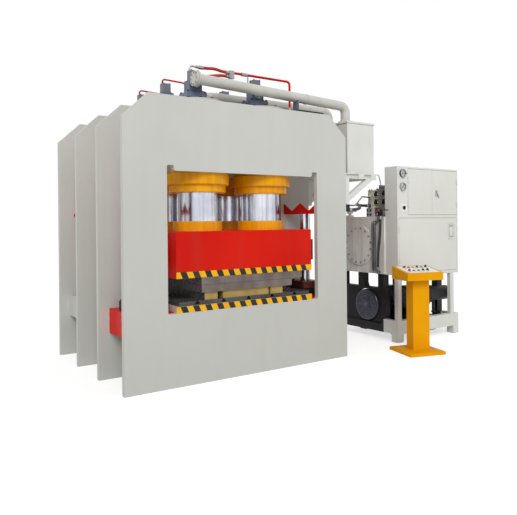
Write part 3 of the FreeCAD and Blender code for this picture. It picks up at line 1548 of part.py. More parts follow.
def main_motor():
    """Return the main motor with its fan cowl, feet, terminal box, bell and pump."""
    x, y, z = base_left_x, main_motor_y, main_motor_z
    body_x = x + main_cowl_length
    bell_x = body_x + main_body_length
    pump_x = bell_x + main_bell_length
    pieces = [fan_cowl(x, y, z, main_cowl_radius, main_cowl_length, main_cowl_round)]
    pieces += ribbed_body(body_x, bell_x, y, z, main_motor_radius)
    pieces.append(rod(main_bell_radius, main_bell_length, V(bell_x, y, z), X_AXIS))
    pieces.append(rod(main_pump_radius, main_pump_length, V(pump_x, y, z), X_AXIS))
    box_x = bell_x - main_box_inset
    pieces.append(block(box_x, box_x + main_box_length, y - main_box_width / 2, y + main_box_width / 2,
                        z, z + main_motor_radius + main_box_rise))
    for foot_x in (body_x + main_foot_inset, bell_x - main_foot_inset - main_foot_length):
        pieces.append(block(foot_x, foot_x + main_foot_length, y - main_foot_half_width,
                            y + main_foot_half_width, base_deck_z, z - main_motor_radius + main_foot_sink))
    return joined(pieces)


def auxiliary_motor():
    """Return the second motor with its cowl, foot, bell, pump and suction stub."""
    x, y, z = shelf_left_x - auxiliary_overhang, auxiliary_motor_y, auxiliary_motor_z
    body_x = x + auxiliary_cowl_length
    bell_x = body_x + auxiliary_body_length
    pump_x = bell_x + auxiliary_bell_length
    pieces = [fan_cowl(x, y, z, auxiliary_cowl_radius, auxiliary_cowl_length, auxiliary_cowl_round)]
    pieces += ribbed_body(body_x, bell_x, y, z, auxiliary_motor_radius)
    pieces.append(rod(auxiliary_bell_radius, auxiliary_bell_length, V(bell_x, y, z), X_AXIS))
    pieces.append(rod(auxiliary_pump_radius, auxiliary_pump_length, V(pump_x, y, z), X_AXIS))
    foot_half = auxiliary_foot_half_width
    pieces.append(block(body_x + auxiliary_foot_inset, bell_x - auxiliary_foot_inset, y - foot_half,
                        y + foot_half, shelf_top, z - auxiliary_motor_radius + auxiliary_foot_sink))
    stub_x = pump_x + suction_inset
    pieces.append(rod(suction_radius, z - shelf_top, V(stub_x, y, shelf_top), Z_AXIS))
    pieces.append(rod(suction_flange_radius, suction_flange_height, V(stub_x, y, shelf_top), Z_AXIS))
    return joined(pieces)


# ---------------------------------------------------------------- console
def placed_on_floor(shape):
    """Turn and move a console piece from the console's own axes to its place."""
    shape.rotate(V(0, 0, 0), Z_AXIS, console_turn)
    shape.translate(V(console_x, console_y, 0))
    return shape


def placed_on_desk(shape):
    """Tilt a control from upright on the face plate's middle to its place on the desk."""
    shape.rotate(V(0, 0, 0), X_AXIS, math.degrees(desk_slope))
    middle = desk_bottom + (desk_front_height + desk_rear_height) / 2
    lift = face_plate_thickness
    shape.translate(V(desk_x, desk_y - lift * math.sin(desk_slope), middle + lift * math.cos(desk_slope)))
    return placed_on_floor(shape)


def console_pedestal():
    """Return the console's floor plate and column."""
    base = bevelled(centred_block(console_base, 0, 0, 0), console_base_chamfer,
                    lambda edge: edge.CenterOfMass.z > console_base[2] - 1)
    height = desk_bottom - console_base[2]
    column = bevelled(centred_block(console_column + (height,), console_column_x, console_column_y,
                                    console_base[2]), console_base_chamfer,
                      lambda edge: is_along(edge, Z_AXIS))
    return placed_on_floor(joined([base, column]))


def console_spots():
    """Return the place of each control on the face plate, by name."""
    return {"emergency_stop": (rear_row_x[0], rear_row_y), "rise_button": (rear_row_x[3], rear_row_y),
            "console_selector_rear": (rear_row_x[5], rear_row_y),
            "start_button": (front_row_x[0], front_row_y), "lower_button": (front_row_x[3], front_row_y),
            "console_selector_front": (front_row_x[4], front_row_y)}


def console_desk():
    """Return the sloped desk box with its face plate, pilot lamps and button bezels."""
    half_w, half_d = desk_width / 2, desk_depth / 2
    front_y, rear_y = desk_y - half_d, desk_y + half_d
    low = desk_bottom
    outline = [(front_y, low), (rear_y, low), (rear_y, low + desk_rear_height),
               (front_y, low + desk_front_height)]
    box = prism([(desk_x - half_w, y, z) for y, z in outline], V(desk_width, 0, 0))
    wall = desk_wall
    inner = [(front_y + wall, low + wall), (rear_y - wall, low + wall),
             (rear_y - wall, low + desk_rear_height - wall), (front_y + wall, low + desk_front_height - wall)]
    cavity = prism([(desk_x - half_w + wall, y, z) for y, z in inner], V(desk_width - 2 * wall, 0, 0))
    box = placed_on_floor(box.cut(cavity))
    length = desk_depth / math.cos(desk_slope) - 2 * desk_rim
    width = desk_width - 2 * desk_rim
    plate = block(-width / 2, width / 2, -length / 2, length / 2, -face_plate_thickness, 0)
    pieces = [box, placed_on_desk(plate)]
    spots = console_spots()
    for x, y in [(x, rear_row_y) for x in rear_row_x] + [(x, front_row_y) for x in front_row_x]:
        controlled = (x, y) in spots.values()
        if controlled:
            pieces.append(placed_on_desk(rod(button_bezel_radius, button_bezel_height, V(x, y, 0), Z_AXIS)))
        else:
            lamp = turned([(0, 0), (button_cap_radius, 0), (button_cap_radius, button_shoulder),
                           (button_crown_radius, button_cap_height), (0, button_cap_height)], x, y)
            pieces.append(placed_on_desk(lamp))
    shape = joined(pieces)
    for x, y in spots.values():
        hole_depth = face_plate_thickness + desk_wall * 2
        hole = rod(button_shaft_radius + control_fit, hole_depth + button_bezel_height,
                   V(x, y, -hole_depth), Z_AXIS)
        shape = shape.cut(placed_on_desk(hole))
    return shape


def push_button(name):
    """Return a push button with its shaft, standing proud by its travel."""
    x, y = console_spots()[name]
    base = button_bezel_height + button_travel + button_stand_off
    if name == "emergency_stop":
        cap = turned([(0, base), (mushroom_crown_radius, base), (mushroom_radius, base + mushroom_skirt),
                      (mushroom_radius, base + mushroom_shoulder),
                      (mushroom_crown_radius, base + mushroom_height), (0, base + mushroom_height)], x, y)
    else:
        cap = rod(button_cap_radius, button_cap_height, V(x, y, base), Z_AXIS)
    shaft = rod(button_shaft_radius, base + button_shaft_reach, V(x, y, -button_shaft_reach), Z_AXIS)
    return placed_on_desk(joined([cap, shaft]))


def console_knob(name):
    """Return a console selector knob with its grip and shaft."""
    x, y = console_spots()[name]
    base = button_bezel_height + seat_gap
    disc = rod(knob_radius, knob_height, V(x, y, base), Z_AXIS)
    grip = centred_block((knob_grip_width, 2 * knob_radius, knob_grip_height), x, y, base + knob_height)
    shaft = rod(button_shaft_radius, base + button_shaft_reach, V(x, y, -button_shaft_reach), Z_AXIS)
    return placed_on_desk(joined([disc, grip, shaft]))


# ---------------------------------------------------------------- assembly
def build():
    """Return every piece by name."""
    nodes = dict(press_frame())
    nodes["lower_table"] = lower_table()
    nodes["platen"] = platen()
    rings = []
    for row, row_name in enumerate(ROWS):
        for side_name, side in SIDES.items():
            nodes[f"cylinder_{row_name}_{side_name}"] = cylinder(row, side)
            nodes[f"ram_{row_name}_{side_name}"] = ram(row, side)
            rings.append(clamp_ring(row, side))
    nodes["ram_clamp_rings"] = Part.makeCompound(rings)
    for row, row_name in zip(guide_rows, ("front", "rear")):
        for side_name, side in SIDES.items():
            nodes[f"guide_column_{row_name}_{side_name}"] = guide_column(row, side)
    nodes["bolster_plate"] = bolster_plate()
    nodes["lower_die"] = lower_die()
    nodes["upper_die"] = upper_die()
    nodes["filling_pipe_front"] = filling_pipe_front()
    nodes["filling_pipe_rear"] = filling_pipe_rear()
    nodes["pilot_pipe"] = pilot_pipe()
    nodes.update(pilot_hoses())
    nodes["filling_tank"] = filling_tank()
    nodes["tank_bracket"] = tank_bracket()
    nodes["return_pipe"] = return_pipe()
    nodes["reservoir"] = reservoir()
    nodes["manhole_cover"] = manhole_cover()
    nodes["valve_lever"] = valve_lever()
    nodes["valve_manifold"] = valve_manifold()
    nodes.update(free_hoses())
    nodes["main_motor"] = main_motor()
    nodes["auxiliary_motor"] = auxiliary_motor()
    nodes["power_base"] = power_base()
    nodes["cabinet"] = cabinet()
    for name in door_spans():
        nodes[name] = cabinet_door(name)
    nodes["door_handle"] = door_handle()
    nodes["mode_selector"] = mode_selector()
    for name, z in gauge_zs.items():
        nodes[f"gauge_needle_{name}"] = gauge_needle(z)
    nodes["cabinet_stand"] = cabinet_stand()
    nodes["console_pedestal"] = console_pedestal()
    nodes["console_desk"] = console_desk()
    for name in ("emergency_stop", "rise_button", "start_button", "lower_button"):
        nodes[name] = push_button(name)
    for name in ("console_selector_rear", "console_selector_front"):
        nodes[name] = console_knob(name)
    return nodes


def main():
    """Build every piece and write one file for each."""
    os.makedirs("parts", exist_ok=True)
    nodes = build()
    for name, shape in nodes.items():
        shape.exportStep(f"parts/{name}.step")
    print(f"{len(nodes)} pieces written")


main()
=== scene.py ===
"""Looks of a multi-cylinder frame press with its power unit, cabinet and console.

Lengths are in metres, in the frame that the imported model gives: +X to the right, +Y to the
rear, +Z up, with the origin at the foot of the front frame plate.
"""

import logging
import math
from dataclasses import dataclass
from enum import Enum, IntEnum
from typing import Sequence

import bmesh
import bpy
from mathutils import Matrix, Vector


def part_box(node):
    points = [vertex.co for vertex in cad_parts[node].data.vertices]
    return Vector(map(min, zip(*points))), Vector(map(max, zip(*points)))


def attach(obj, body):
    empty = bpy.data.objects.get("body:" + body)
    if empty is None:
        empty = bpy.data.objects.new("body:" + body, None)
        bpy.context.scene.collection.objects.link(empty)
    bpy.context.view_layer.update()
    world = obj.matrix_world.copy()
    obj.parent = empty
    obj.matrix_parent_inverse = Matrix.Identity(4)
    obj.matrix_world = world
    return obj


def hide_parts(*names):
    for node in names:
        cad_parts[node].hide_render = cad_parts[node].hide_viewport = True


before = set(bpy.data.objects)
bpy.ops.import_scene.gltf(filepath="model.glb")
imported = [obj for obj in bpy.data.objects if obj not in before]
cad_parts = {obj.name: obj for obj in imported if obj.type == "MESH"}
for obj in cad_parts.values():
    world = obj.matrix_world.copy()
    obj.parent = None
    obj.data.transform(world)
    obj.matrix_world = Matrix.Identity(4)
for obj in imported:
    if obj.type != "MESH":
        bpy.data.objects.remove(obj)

LOG = logging.getLogger("press")
Point = tuple[float, float, float]
Colour = tuple[float, float, float]
Box = tuple[Point, Point]
Span = tuple[float, float]
Outline = Sequence[Span]

ROWS = ("front", "middle", "rear")
SIDES = {"left": -1.0, "right": 1.0}
BOTH = (-1, 1)
UP = (0, 0, 1)
DOWN = (0, 0, -1)
RIGHT = (1, 0, 0)
LEFT = (-1, 0, 0)
FRONTWARD = (0, -1, 0)
REARWARD = (0, 1, 0)

# The frame plates' pitch and half their thickness, and a cylinder's distance from the middle.
PLATE_PITCH = 0.690
HALF_PLATE = 0.0275
CYLINDER_X = 0.400

# A gap that keeps a zone off the next face, and a distance that lies beyond the machine.
SKIN = 0.0005
FAR = 9.0

# The curve that leads from display colours to linear light.
SRGB_FULL = 255.0
SRGB_KNEE = 0.04045
SRGB_SLOPE = 12.92
SRGB_LIFT = 0.055
SRGB_SCALE = 1.055
SRGB_POWER = 2.4

# Sockets of the node that mixes colours.
MIX_SHARE = 0
MIX_FIRST = 6
MIX_SECOND = 7
MIX_RESULT = 2

# How far the true and the rounded normal agree on a flat, and on the middle of an edge.
FLAT_SURFACE = 0.995
FULL_EDGE = 0.80

EVEN = (1.0, 1.0, 1.0)
WHITE = (1.0, 1.0, 1.0, 1.0)

# A radius that counts as a point, the steps round a bead's section, and a sharp edge's angle.
POINT_RADIUS = 1e-6
BEAD_STEPS = 8
SHARP_ANGLE = math.radians(34)

# A washer in thread diameters, and the heights of a sunk head's top and socket floor.
WASHER_RADIUS = 1.05
WASHER_HEIGHT = 0.14
WASHER_CHAMFER = 0.03
SUNK_TOP = 0.0014
SUNK_FLOOR = 0.0003


class Sides(IntEnum):
    """How many sides the machine's turned forms have."""

    HEXAGON = 6
    DOT = 12
    PIN = 18
    WASHER = 20
    LOCK = 24
    TUBE = 28
    DISC = 40
    GRILLE = 48
    COVER = 64
    BARREL = 72


def linear(value: float) -> float:
    """Turn one channel of a display colour into linear light.

    Args:
        value: The channel from 0 to 255.

    Returns:
        The channel in linear light from 0 to 1.
    """
    share = value / SRGB_FULL
    if share <= SRGB_KNEE:
        return share / SRGB_SLOPE
    return ((share + SRGB_LIFT) / SRGB_SCALE) ** SRGB_POWER


def srgb(red: float, green: float, blue: float) -> Colour:
    """Turn a display colour of 0 to 255 into the linear colour that shaders take."""
    return linear(red), linear(green), linear(blue)


def gap_middle(row: int) -> float:
    """Return the Y of the middle of the gap behind a frame plate."""
    return (row + 0.5) * PLATE_PITCH


# ------------------------------------------------------------------ node trees
class Tree:
    """The node tree of one material, with short calls for the nodes it uses."""

    def __init__(self, name: str) -> None:
        """Start an empty material.

        Args:
            name: The material's name.
        """
        self.material = bpy.data.materials.new(name)
        self.material.use_nodes = True
        self.nodes = self.material.node_tree.nodes
        self.links = self.material.node_tree.links
        self.nodes.clear()

    def add(self, kind: str, **inputs: object) -> bpy.types.Node:
        """Add a node and fill its inputs with values or linked sockets.

        Args:
            kind: The node's type name without its "ShaderNode" prefix.
            **inputs: Input names, with underscores for spaces, and what goes in.

        Returns:
            The new node.
        """
        node = self.nodes.new("ShaderNode" + kind)
        for key, value in inputs.items():
            self.put(node.inputs[key.replace("_", " ")], value)
        return node

    def put(self, socket: bpy.types.NodeSocket, value: object) -> None:
        """Link a socket, or set its value.

        Args:
            socket: The socket to fill.
            value: A socket to link, a colour or a number.
        """
        if isinstance(value, bpy.types.NodeSocket):
            self.links.new(value, socket)
        elif isinstance(value, tuple) and socket.type == "RGBA":
            socket.default_value = (*value, 1.0)
        else:
            socket.default_value = value

    def place(self, stretch: Point = EVEN) -> bpy.types.NodeSocket:
        """Return the object's own coordinates, stretched along each axis."""
        where = self.add("TexCoord").outputs["Object"]
        return self.add("Mapping", Vector=where, Scale=Vector(stretch)).outputs["Vector"]

    def noise(self, scale: float, detail: float = 3.0,
              stretch: Point = EVEN) -> bpy.types.NodeSocket:
        """Return a noise value of 0 to 1.

        Args:
            scale: Cycles per metre.
            detail: How many finer layers are added.
            stretch: The scale's share along each axis.

        Returns:
            The noise's value.
        """
        node = self.add("TexNoise", Vector=self.place(stretch), Scale=scale, Detail=detail)
        return node.outputs[0]

    def spread(self, value: bpy.types.NodeSocket, low: float, high: float, start: float = 0.0,
               end: float = 1.0) -> bpy.types.NodeSocket:
        """Map one range of a value onto another, clamped.

        Args:
            value: The value to map.
            low: The value that gives start.
            high: The value that gives end.
            start: The result at low.
            end: The result at high.

        Returns:
            The mapped value.
        """
        node = self.add("MapRange", Value=value)
        for name, number in (("From Min", low), ("From Max", high), ("To Min", start), ("To Max", end)):
            node.inputs[name].default_value = number
        return node.outputs["Result"]

    def mix(self, share: object, first: object, second: object) -> bpy.types.NodeSocket:
        """Mix two colours.

        Args:
            share: The second colour's share.
            first: The first colour.
            second: The second colour.

        Returns:
            The mixed colour.
        """
        node = self.nodes.new("ShaderNodeMix")
        node.data_type = "RGBA"
        self.put(node.inputs[MIX_SHARE], share)
        self.put(node.inputs[MIX_FIRST], first)
        self.put(node.inputs[MIX_SECOND], second)
        return node.outputs[MIX_RESULT]

    def reckon(self, sum_kind: str, first: object, second: object) -> bpy.types.NodeSocket:
        """Work out a sum of two values, clamped to 0 to 1.

        Args:
            sum_kind: The kind of sum, such as MULTIPLY.
            first: The first value.
            second: The second value.

        Returns:
            The result.
        """
        node = self.nodes.new("ShaderNodeMath")
        node.operation = sum_kind
        node.use_clamp = True
        self.put(node.inputs[0], first)
        self.put(node.inputs[1], second)
        return node.outputs[0]

    def blend(self, share: object, first: bpy.types.Node, second: bpy.types.Node) -> bpy.types.Node:
        """Mix two shaders.

        Args:
            share: The second shader's share.
            first: The first shader.
            second: The second shader.

        Returns:
            The mixing node.
        """
        node = self.add("MixShader")
        self.put(node.inputs[0], share)
        self.put(node.inputs[1], first.outputs[0])
        self.put(node.inputs[2], second.outputs[0])
        return node

    def soft_edges(self, radius: float) -> bpy.types.Node:
        """Add a node whose normal rounds the edges.

        Args:
            radius: The edges' radius.

        Returns:
            The node.
        """
        node = self.add("Bevel", Radius=radius)
        node.samples = 4
        return node

    def edge_share(self, edges: bpy.types.Node) -> bpy.types.NodeSocket:
        """Find how far a spot lies on a rounded edge.

        Args:
            edges: The node that rounds the edges.

        Returns:
            A value from 0 on flats to 1 on edges.
        """
        straight = self.add("NewGeometry").outputs["Normal"]
        dot = self.nodes.new("ShaderNodeVectorMath")
        dot.operation = "DOT_PRODUCT"
        self.put(dot.inputs[0], edges.outputs["Normal"])
        self.put(dot.inputs[1], straight)
        return self.spread(dot.outputs["Value"], FLAT_SURFACE, FULL_EDGE)

    def bump(self, height: bpy.types.NodeSocket, strength: float, depth: float,
             normal: bpy.types.NodeSocket | None = None) -> bpy.types.NodeSocket:
        """Raise a normal by a height.

        Args:
            height: The height's value.
            strength: How much of it shows.
            depth: The height in metres at a value of 1.
            normal: The normal to start from, where it isn't the surface's own.

        Returns:
            The raised normal.
        """
        node = self.add("Bump", Height=height, Strength=strength, Distance=depth)
        if normal is not None:
            self.put(node.inputs["Normal"], normal)
        return node.outputs["Normal"]

    def finish(self, **inputs: object) -> bpy.types.Material:
        """Close the tree with a surface shader.

        Args:
            **inputs: The shader's inputs.

        Returns:
            The finished material.
        """
        shader = self.add("BsdfPrincipled", **inputs)
        self.add("OutputMaterial", Surface=shader.outputs[0])
        return self.material


# ------------------------------------------------------------------ finishes
@dataclass(frozen=True)
class Paint:
    """Sprayed machine paint with broad patches, faint runs, fine grain and worn edges."""

    colour: Colour
    patch: Colour
    roughness: float = 0.42
    patch_size: float = 0.9
    grain: float = 0.10
    edge: Colour = srgb(120, 115, 105)
    dirt: Colour = srgb(96, 90, 78)
    wear: float = 0.25
    edge_radius: float = 0.003
    coat: float = 0.05
    dust: float = 0.10
    specular: float = 0.3
    streaks: float = 0.0
    painted_floor_shade: float = 0.0
    painted_shade_top: float = 2.6
    shade: float = 0.6
    streak_scale: float = 24.0
    run_scale: float = 9.0
    chip_scale: float = 38.0
    gloss_scale: float = 14.0
    grain_scale: float = 420.0
    grain_depth: float = 0.0006
    wave_scale: float = 7.0
    wave_depth: float = 0.004
    wave_strength: float = 0.10
    coat_roughness: float = 0.25
    patch_span: Span = (0.35, 0.68)
    streak_span: Span = (0.42, 0.62)
    streak_stretch: Point = (1.0, 1.0, 0.04)
    run_span: Span = (0.5, 0.8)
    run_stretch: Point = (1.0, 1.0, 0.12)
    chip_span: Span = (0.42, 0.62)
    gloss_span: Span = (0.3, 0.7)
    gloss_swing: Span = (-0.05, 0.09)

    def streaked_and_floor_shaded(self, tree: Tree, base: bpy.types.NodeSocket) -> bpy.types.NodeSocket:
        """Darken a paint with vertical streaks, which are stains on some finishes and painted
        reflections on others, and with painted shade towards the floor.

        Args:
            tree: The material's tree.
            base: The clean paint's colour.

        Returns:
            The weathered colour.
        """
        dark = tuple(channel * self.shade for channel in self.patch)
        # Vertical streaks: real stains on the reservoir, painted reflections on the glossy cylinder
        # barrels.
        if self.streaks > 0:
            stains_and_painted_reflections = tree.noise(self.streak_scale, 2.0, self.streak_stretch)
            base = tree.mix(tree.spread(stains_and_painted_reflections, *self.streak_span, 0.0, self.streaks), base, dark)
        # Painted shade: below the top height the paint darkens more and more towards the floor.
        if self.painted_floor_shade > 0:
            height = tree.add("SeparateXYZ", Vector=tree.place()).outputs["Z"]
            base = tree.mix(tree.spread(height, self.painted_shade_top, 0.0, 0.0, self.painted_floor_shade), base, dark)
        return base

    def material(self, name: str) -> bpy.types.Material:
        """Build the paint's material.

        Args:
            name: The material's name.

        Returns:
            The material.
        """
        tree = Tree(name)
        patches = tree.spread(tree.noise(1.0 / self.patch_size, detail=4.0), *self.patch_span)
        base = self.streaked_and_floor_shaded(tree, tree.mix(patches, self.colour, self.patch))
        runs = tree.noise(self.run_scale, stretch=self.run_stretch)
        runs = tree.spread(runs, *self.run_span, 0.0, self.dust)
        soiled = tree.mix(runs, base, self.dirt)
        edges = tree.soft_edges(self.edge_radius)
        chips = tree.spread(tree.noise(self.chip_scale, detail=4.0), *self.chip_span)
        worn = tree.reckon("MULTIPLY", tree.edge_share(edges), tree.reckon("MULTIPLY", chips, self.wear))
        tone = tree.mix(worn, soiled, self.edge)
        low, high = self.gloss_swing
        gloss = tree.spread(tree.noise(self.gloss_scale), *self.gloss_span, self.roughness + low,
                            self.roughness + high)
        grain = tree.bump(tree.noise(self.grain_scale, detail=2.0), self.grain, self.grain_depth,
                          edges.outputs["Normal"])
        waves = tree.bump(tree.noise(self.wave_scale, detail=2.0), self.wave_strength,
                          self.wave_depth, grain)
        return tree.finish(Base_Color=tone, Roughness=gloss, Normal=waves, Coat_Weight=self.coat,
                           Coat_Roughness=self.coat_roughness, Specular_IOR_Level=self.specular)


@dataclass(frozen=True)
class Metal:
    """Bare metal from the lathe, the grinder, the drawing bench or the foundry, with a film of oil in
    patches and, where streaks are set, dark vertical streaks painted in as reflections.
    """

    colour: Colour
    patch: Colour
    roughness: float = 0.3
    lines: Point = (1.0, 1.0, 40.0)
    line_scale: float = 30.0
    line_bump: float = 0.08
    line_depth: float = 0.0004
    edge_radius: float = 0.0015
    film_scale: float = 5.0
    streaks: float = 0.0
    streak_scale: float = 22.0
    streak_shade: float = 0.3
    streak_span: Span = (0.44, 0.60)
    streak_stretch: Point = (1.0, 1.0, 0.03)
    film_span: Span = (0.38, 0.66)
    gloss_span: Span = (0.3, 0.7)
    gloss_share: Span = (0.75, 1.35)

    def material(self, name: str) -> bpy.types.Material:
        """Build the metal's material.

        Args:
            name: The material's name.

        Returns:
            The material.
        """
        tree = Tree(name)
        film = tree.spread(tree.noise(self.film_scale, detail=5.0), *self.film_span)
        tone = tree.mix(film, self.colour, self.patch)
        # Painted reflections: dark vertical streaks in the metal's colour stand in for the reflected
        # surroundings.
        if self.streaks > 0:
            painted_reflection_streaks = tree.noise(self.streak_scale, stretch=self.streak_stretch)
            dark = tuple(channel * self.streak_shade for channel in self.patch)
            tone = tree.mix(tree.spread(painted_reflection_streaks, *self.streak_span, 0.0, self.streaks), tone, dark)
        marks = tree.noise(self.line_scale, stretch=self.lines)
        low, high = self.gloss_share
        gloss = tree.spread(marks, *self.gloss_span, self.roughness * low, self.roughness * high)
        edges = tree.soft_edges(self.edge_radius)
        normal = tree.bump(marks, self.line_bump, self.line_depth, edges.outputs["Normal"])
        return tree.finish(Base_Color=tone, Metallic=1.0, Roughness=gloss, Normal=normal)


@dataclass(frozen=True)
class Moulded:
    """Moulded plastic or rubber with a fine grain and faint scuffs."""

    colour: Colour
    patch: Colour
    roughness: float = 0.4
    grain: float = 0.12
    grain_scale: float = 900.0
    grain_depth: float = 0.0003
    scuff_scale: float = 24.0
    gloss_scale: float = 60.0
    edge_radius: float = 0.0008
    scuff_span: Span = (0.4, 0.65)
    gloss_span: Span = (0.3, 0.7)
    gloss_swing: Span = (-0.06, 0.1)

    def material(self, name: str) -> bpy.types.Material:
        """Build the plastic's or rubber's material.

        Args:
            name: The material's name.

        Returns:
            The material.
        """
        tree = Tree(name)
        scuffs = tree.spread(tree.noise(self.scuff_scale, detail=4.0), *self.scuff_span)
        tone = tree.mix(scuffs, self.colour, self.patch)
        low, high = self.gloss_swing
        gloss = tree.spread(tree.noise(self.gloss_scale), *self.gloss_span, self.roughness + low,
                            self.roughness + high)
        edges = tree.soft_edges(self.edge_radius)
        normal = tree.bump(tree.noise(self.grain_scale, detail=2.0), self.grain, self.grain_depth,
                           edges.outputs["Normal"])
        return tree.finish(Base_Color=tone, Roughness=gloss, Normal=normal)


@dataclass(frozen=True)
class Lens:
    """Coloured lamp lens or clear cover."""

    colour: Colour
    glow: float = 0.0
    roughness: float = 0.08
    through: float = 0.35
    shade: float = 0.6
    patch_scale: float = 70.0
    patch_span: Span = (0.3, 0.7)
    patch_share: float = 0.35
    flute_scale: float = 260.0
    flute_depth: float = 0.0004
    flute_strength: float = 0.12

    def material(self, name: str) -> bpy.types.Material:
        """Build the lens's material.

        Args:
            name: The material's name.

        Returns:
            The material.
        """
        tree = Tree(name)
        patches = tree.noise(self.patch_scale, detail=2.0)
        patches = tree.spread(patches, *self.patch_span, 0.0, self.patch_share)
        tone = tree.mix(patches, self.colour, tuple(channel * self.shade for channel in self.colour))
        flutes = tree.bump(tree.noise(self.flute_scale, detail=1.0), self.flute_strength,
                           self.flute_depth)
        return tree.finish(Base_Color=tone, Roughness=self.roughness, Normal=flutes,
                           Transmission_Weight=self.through, Emission_Color=tone,
                           Emission_Strength=self.glow)


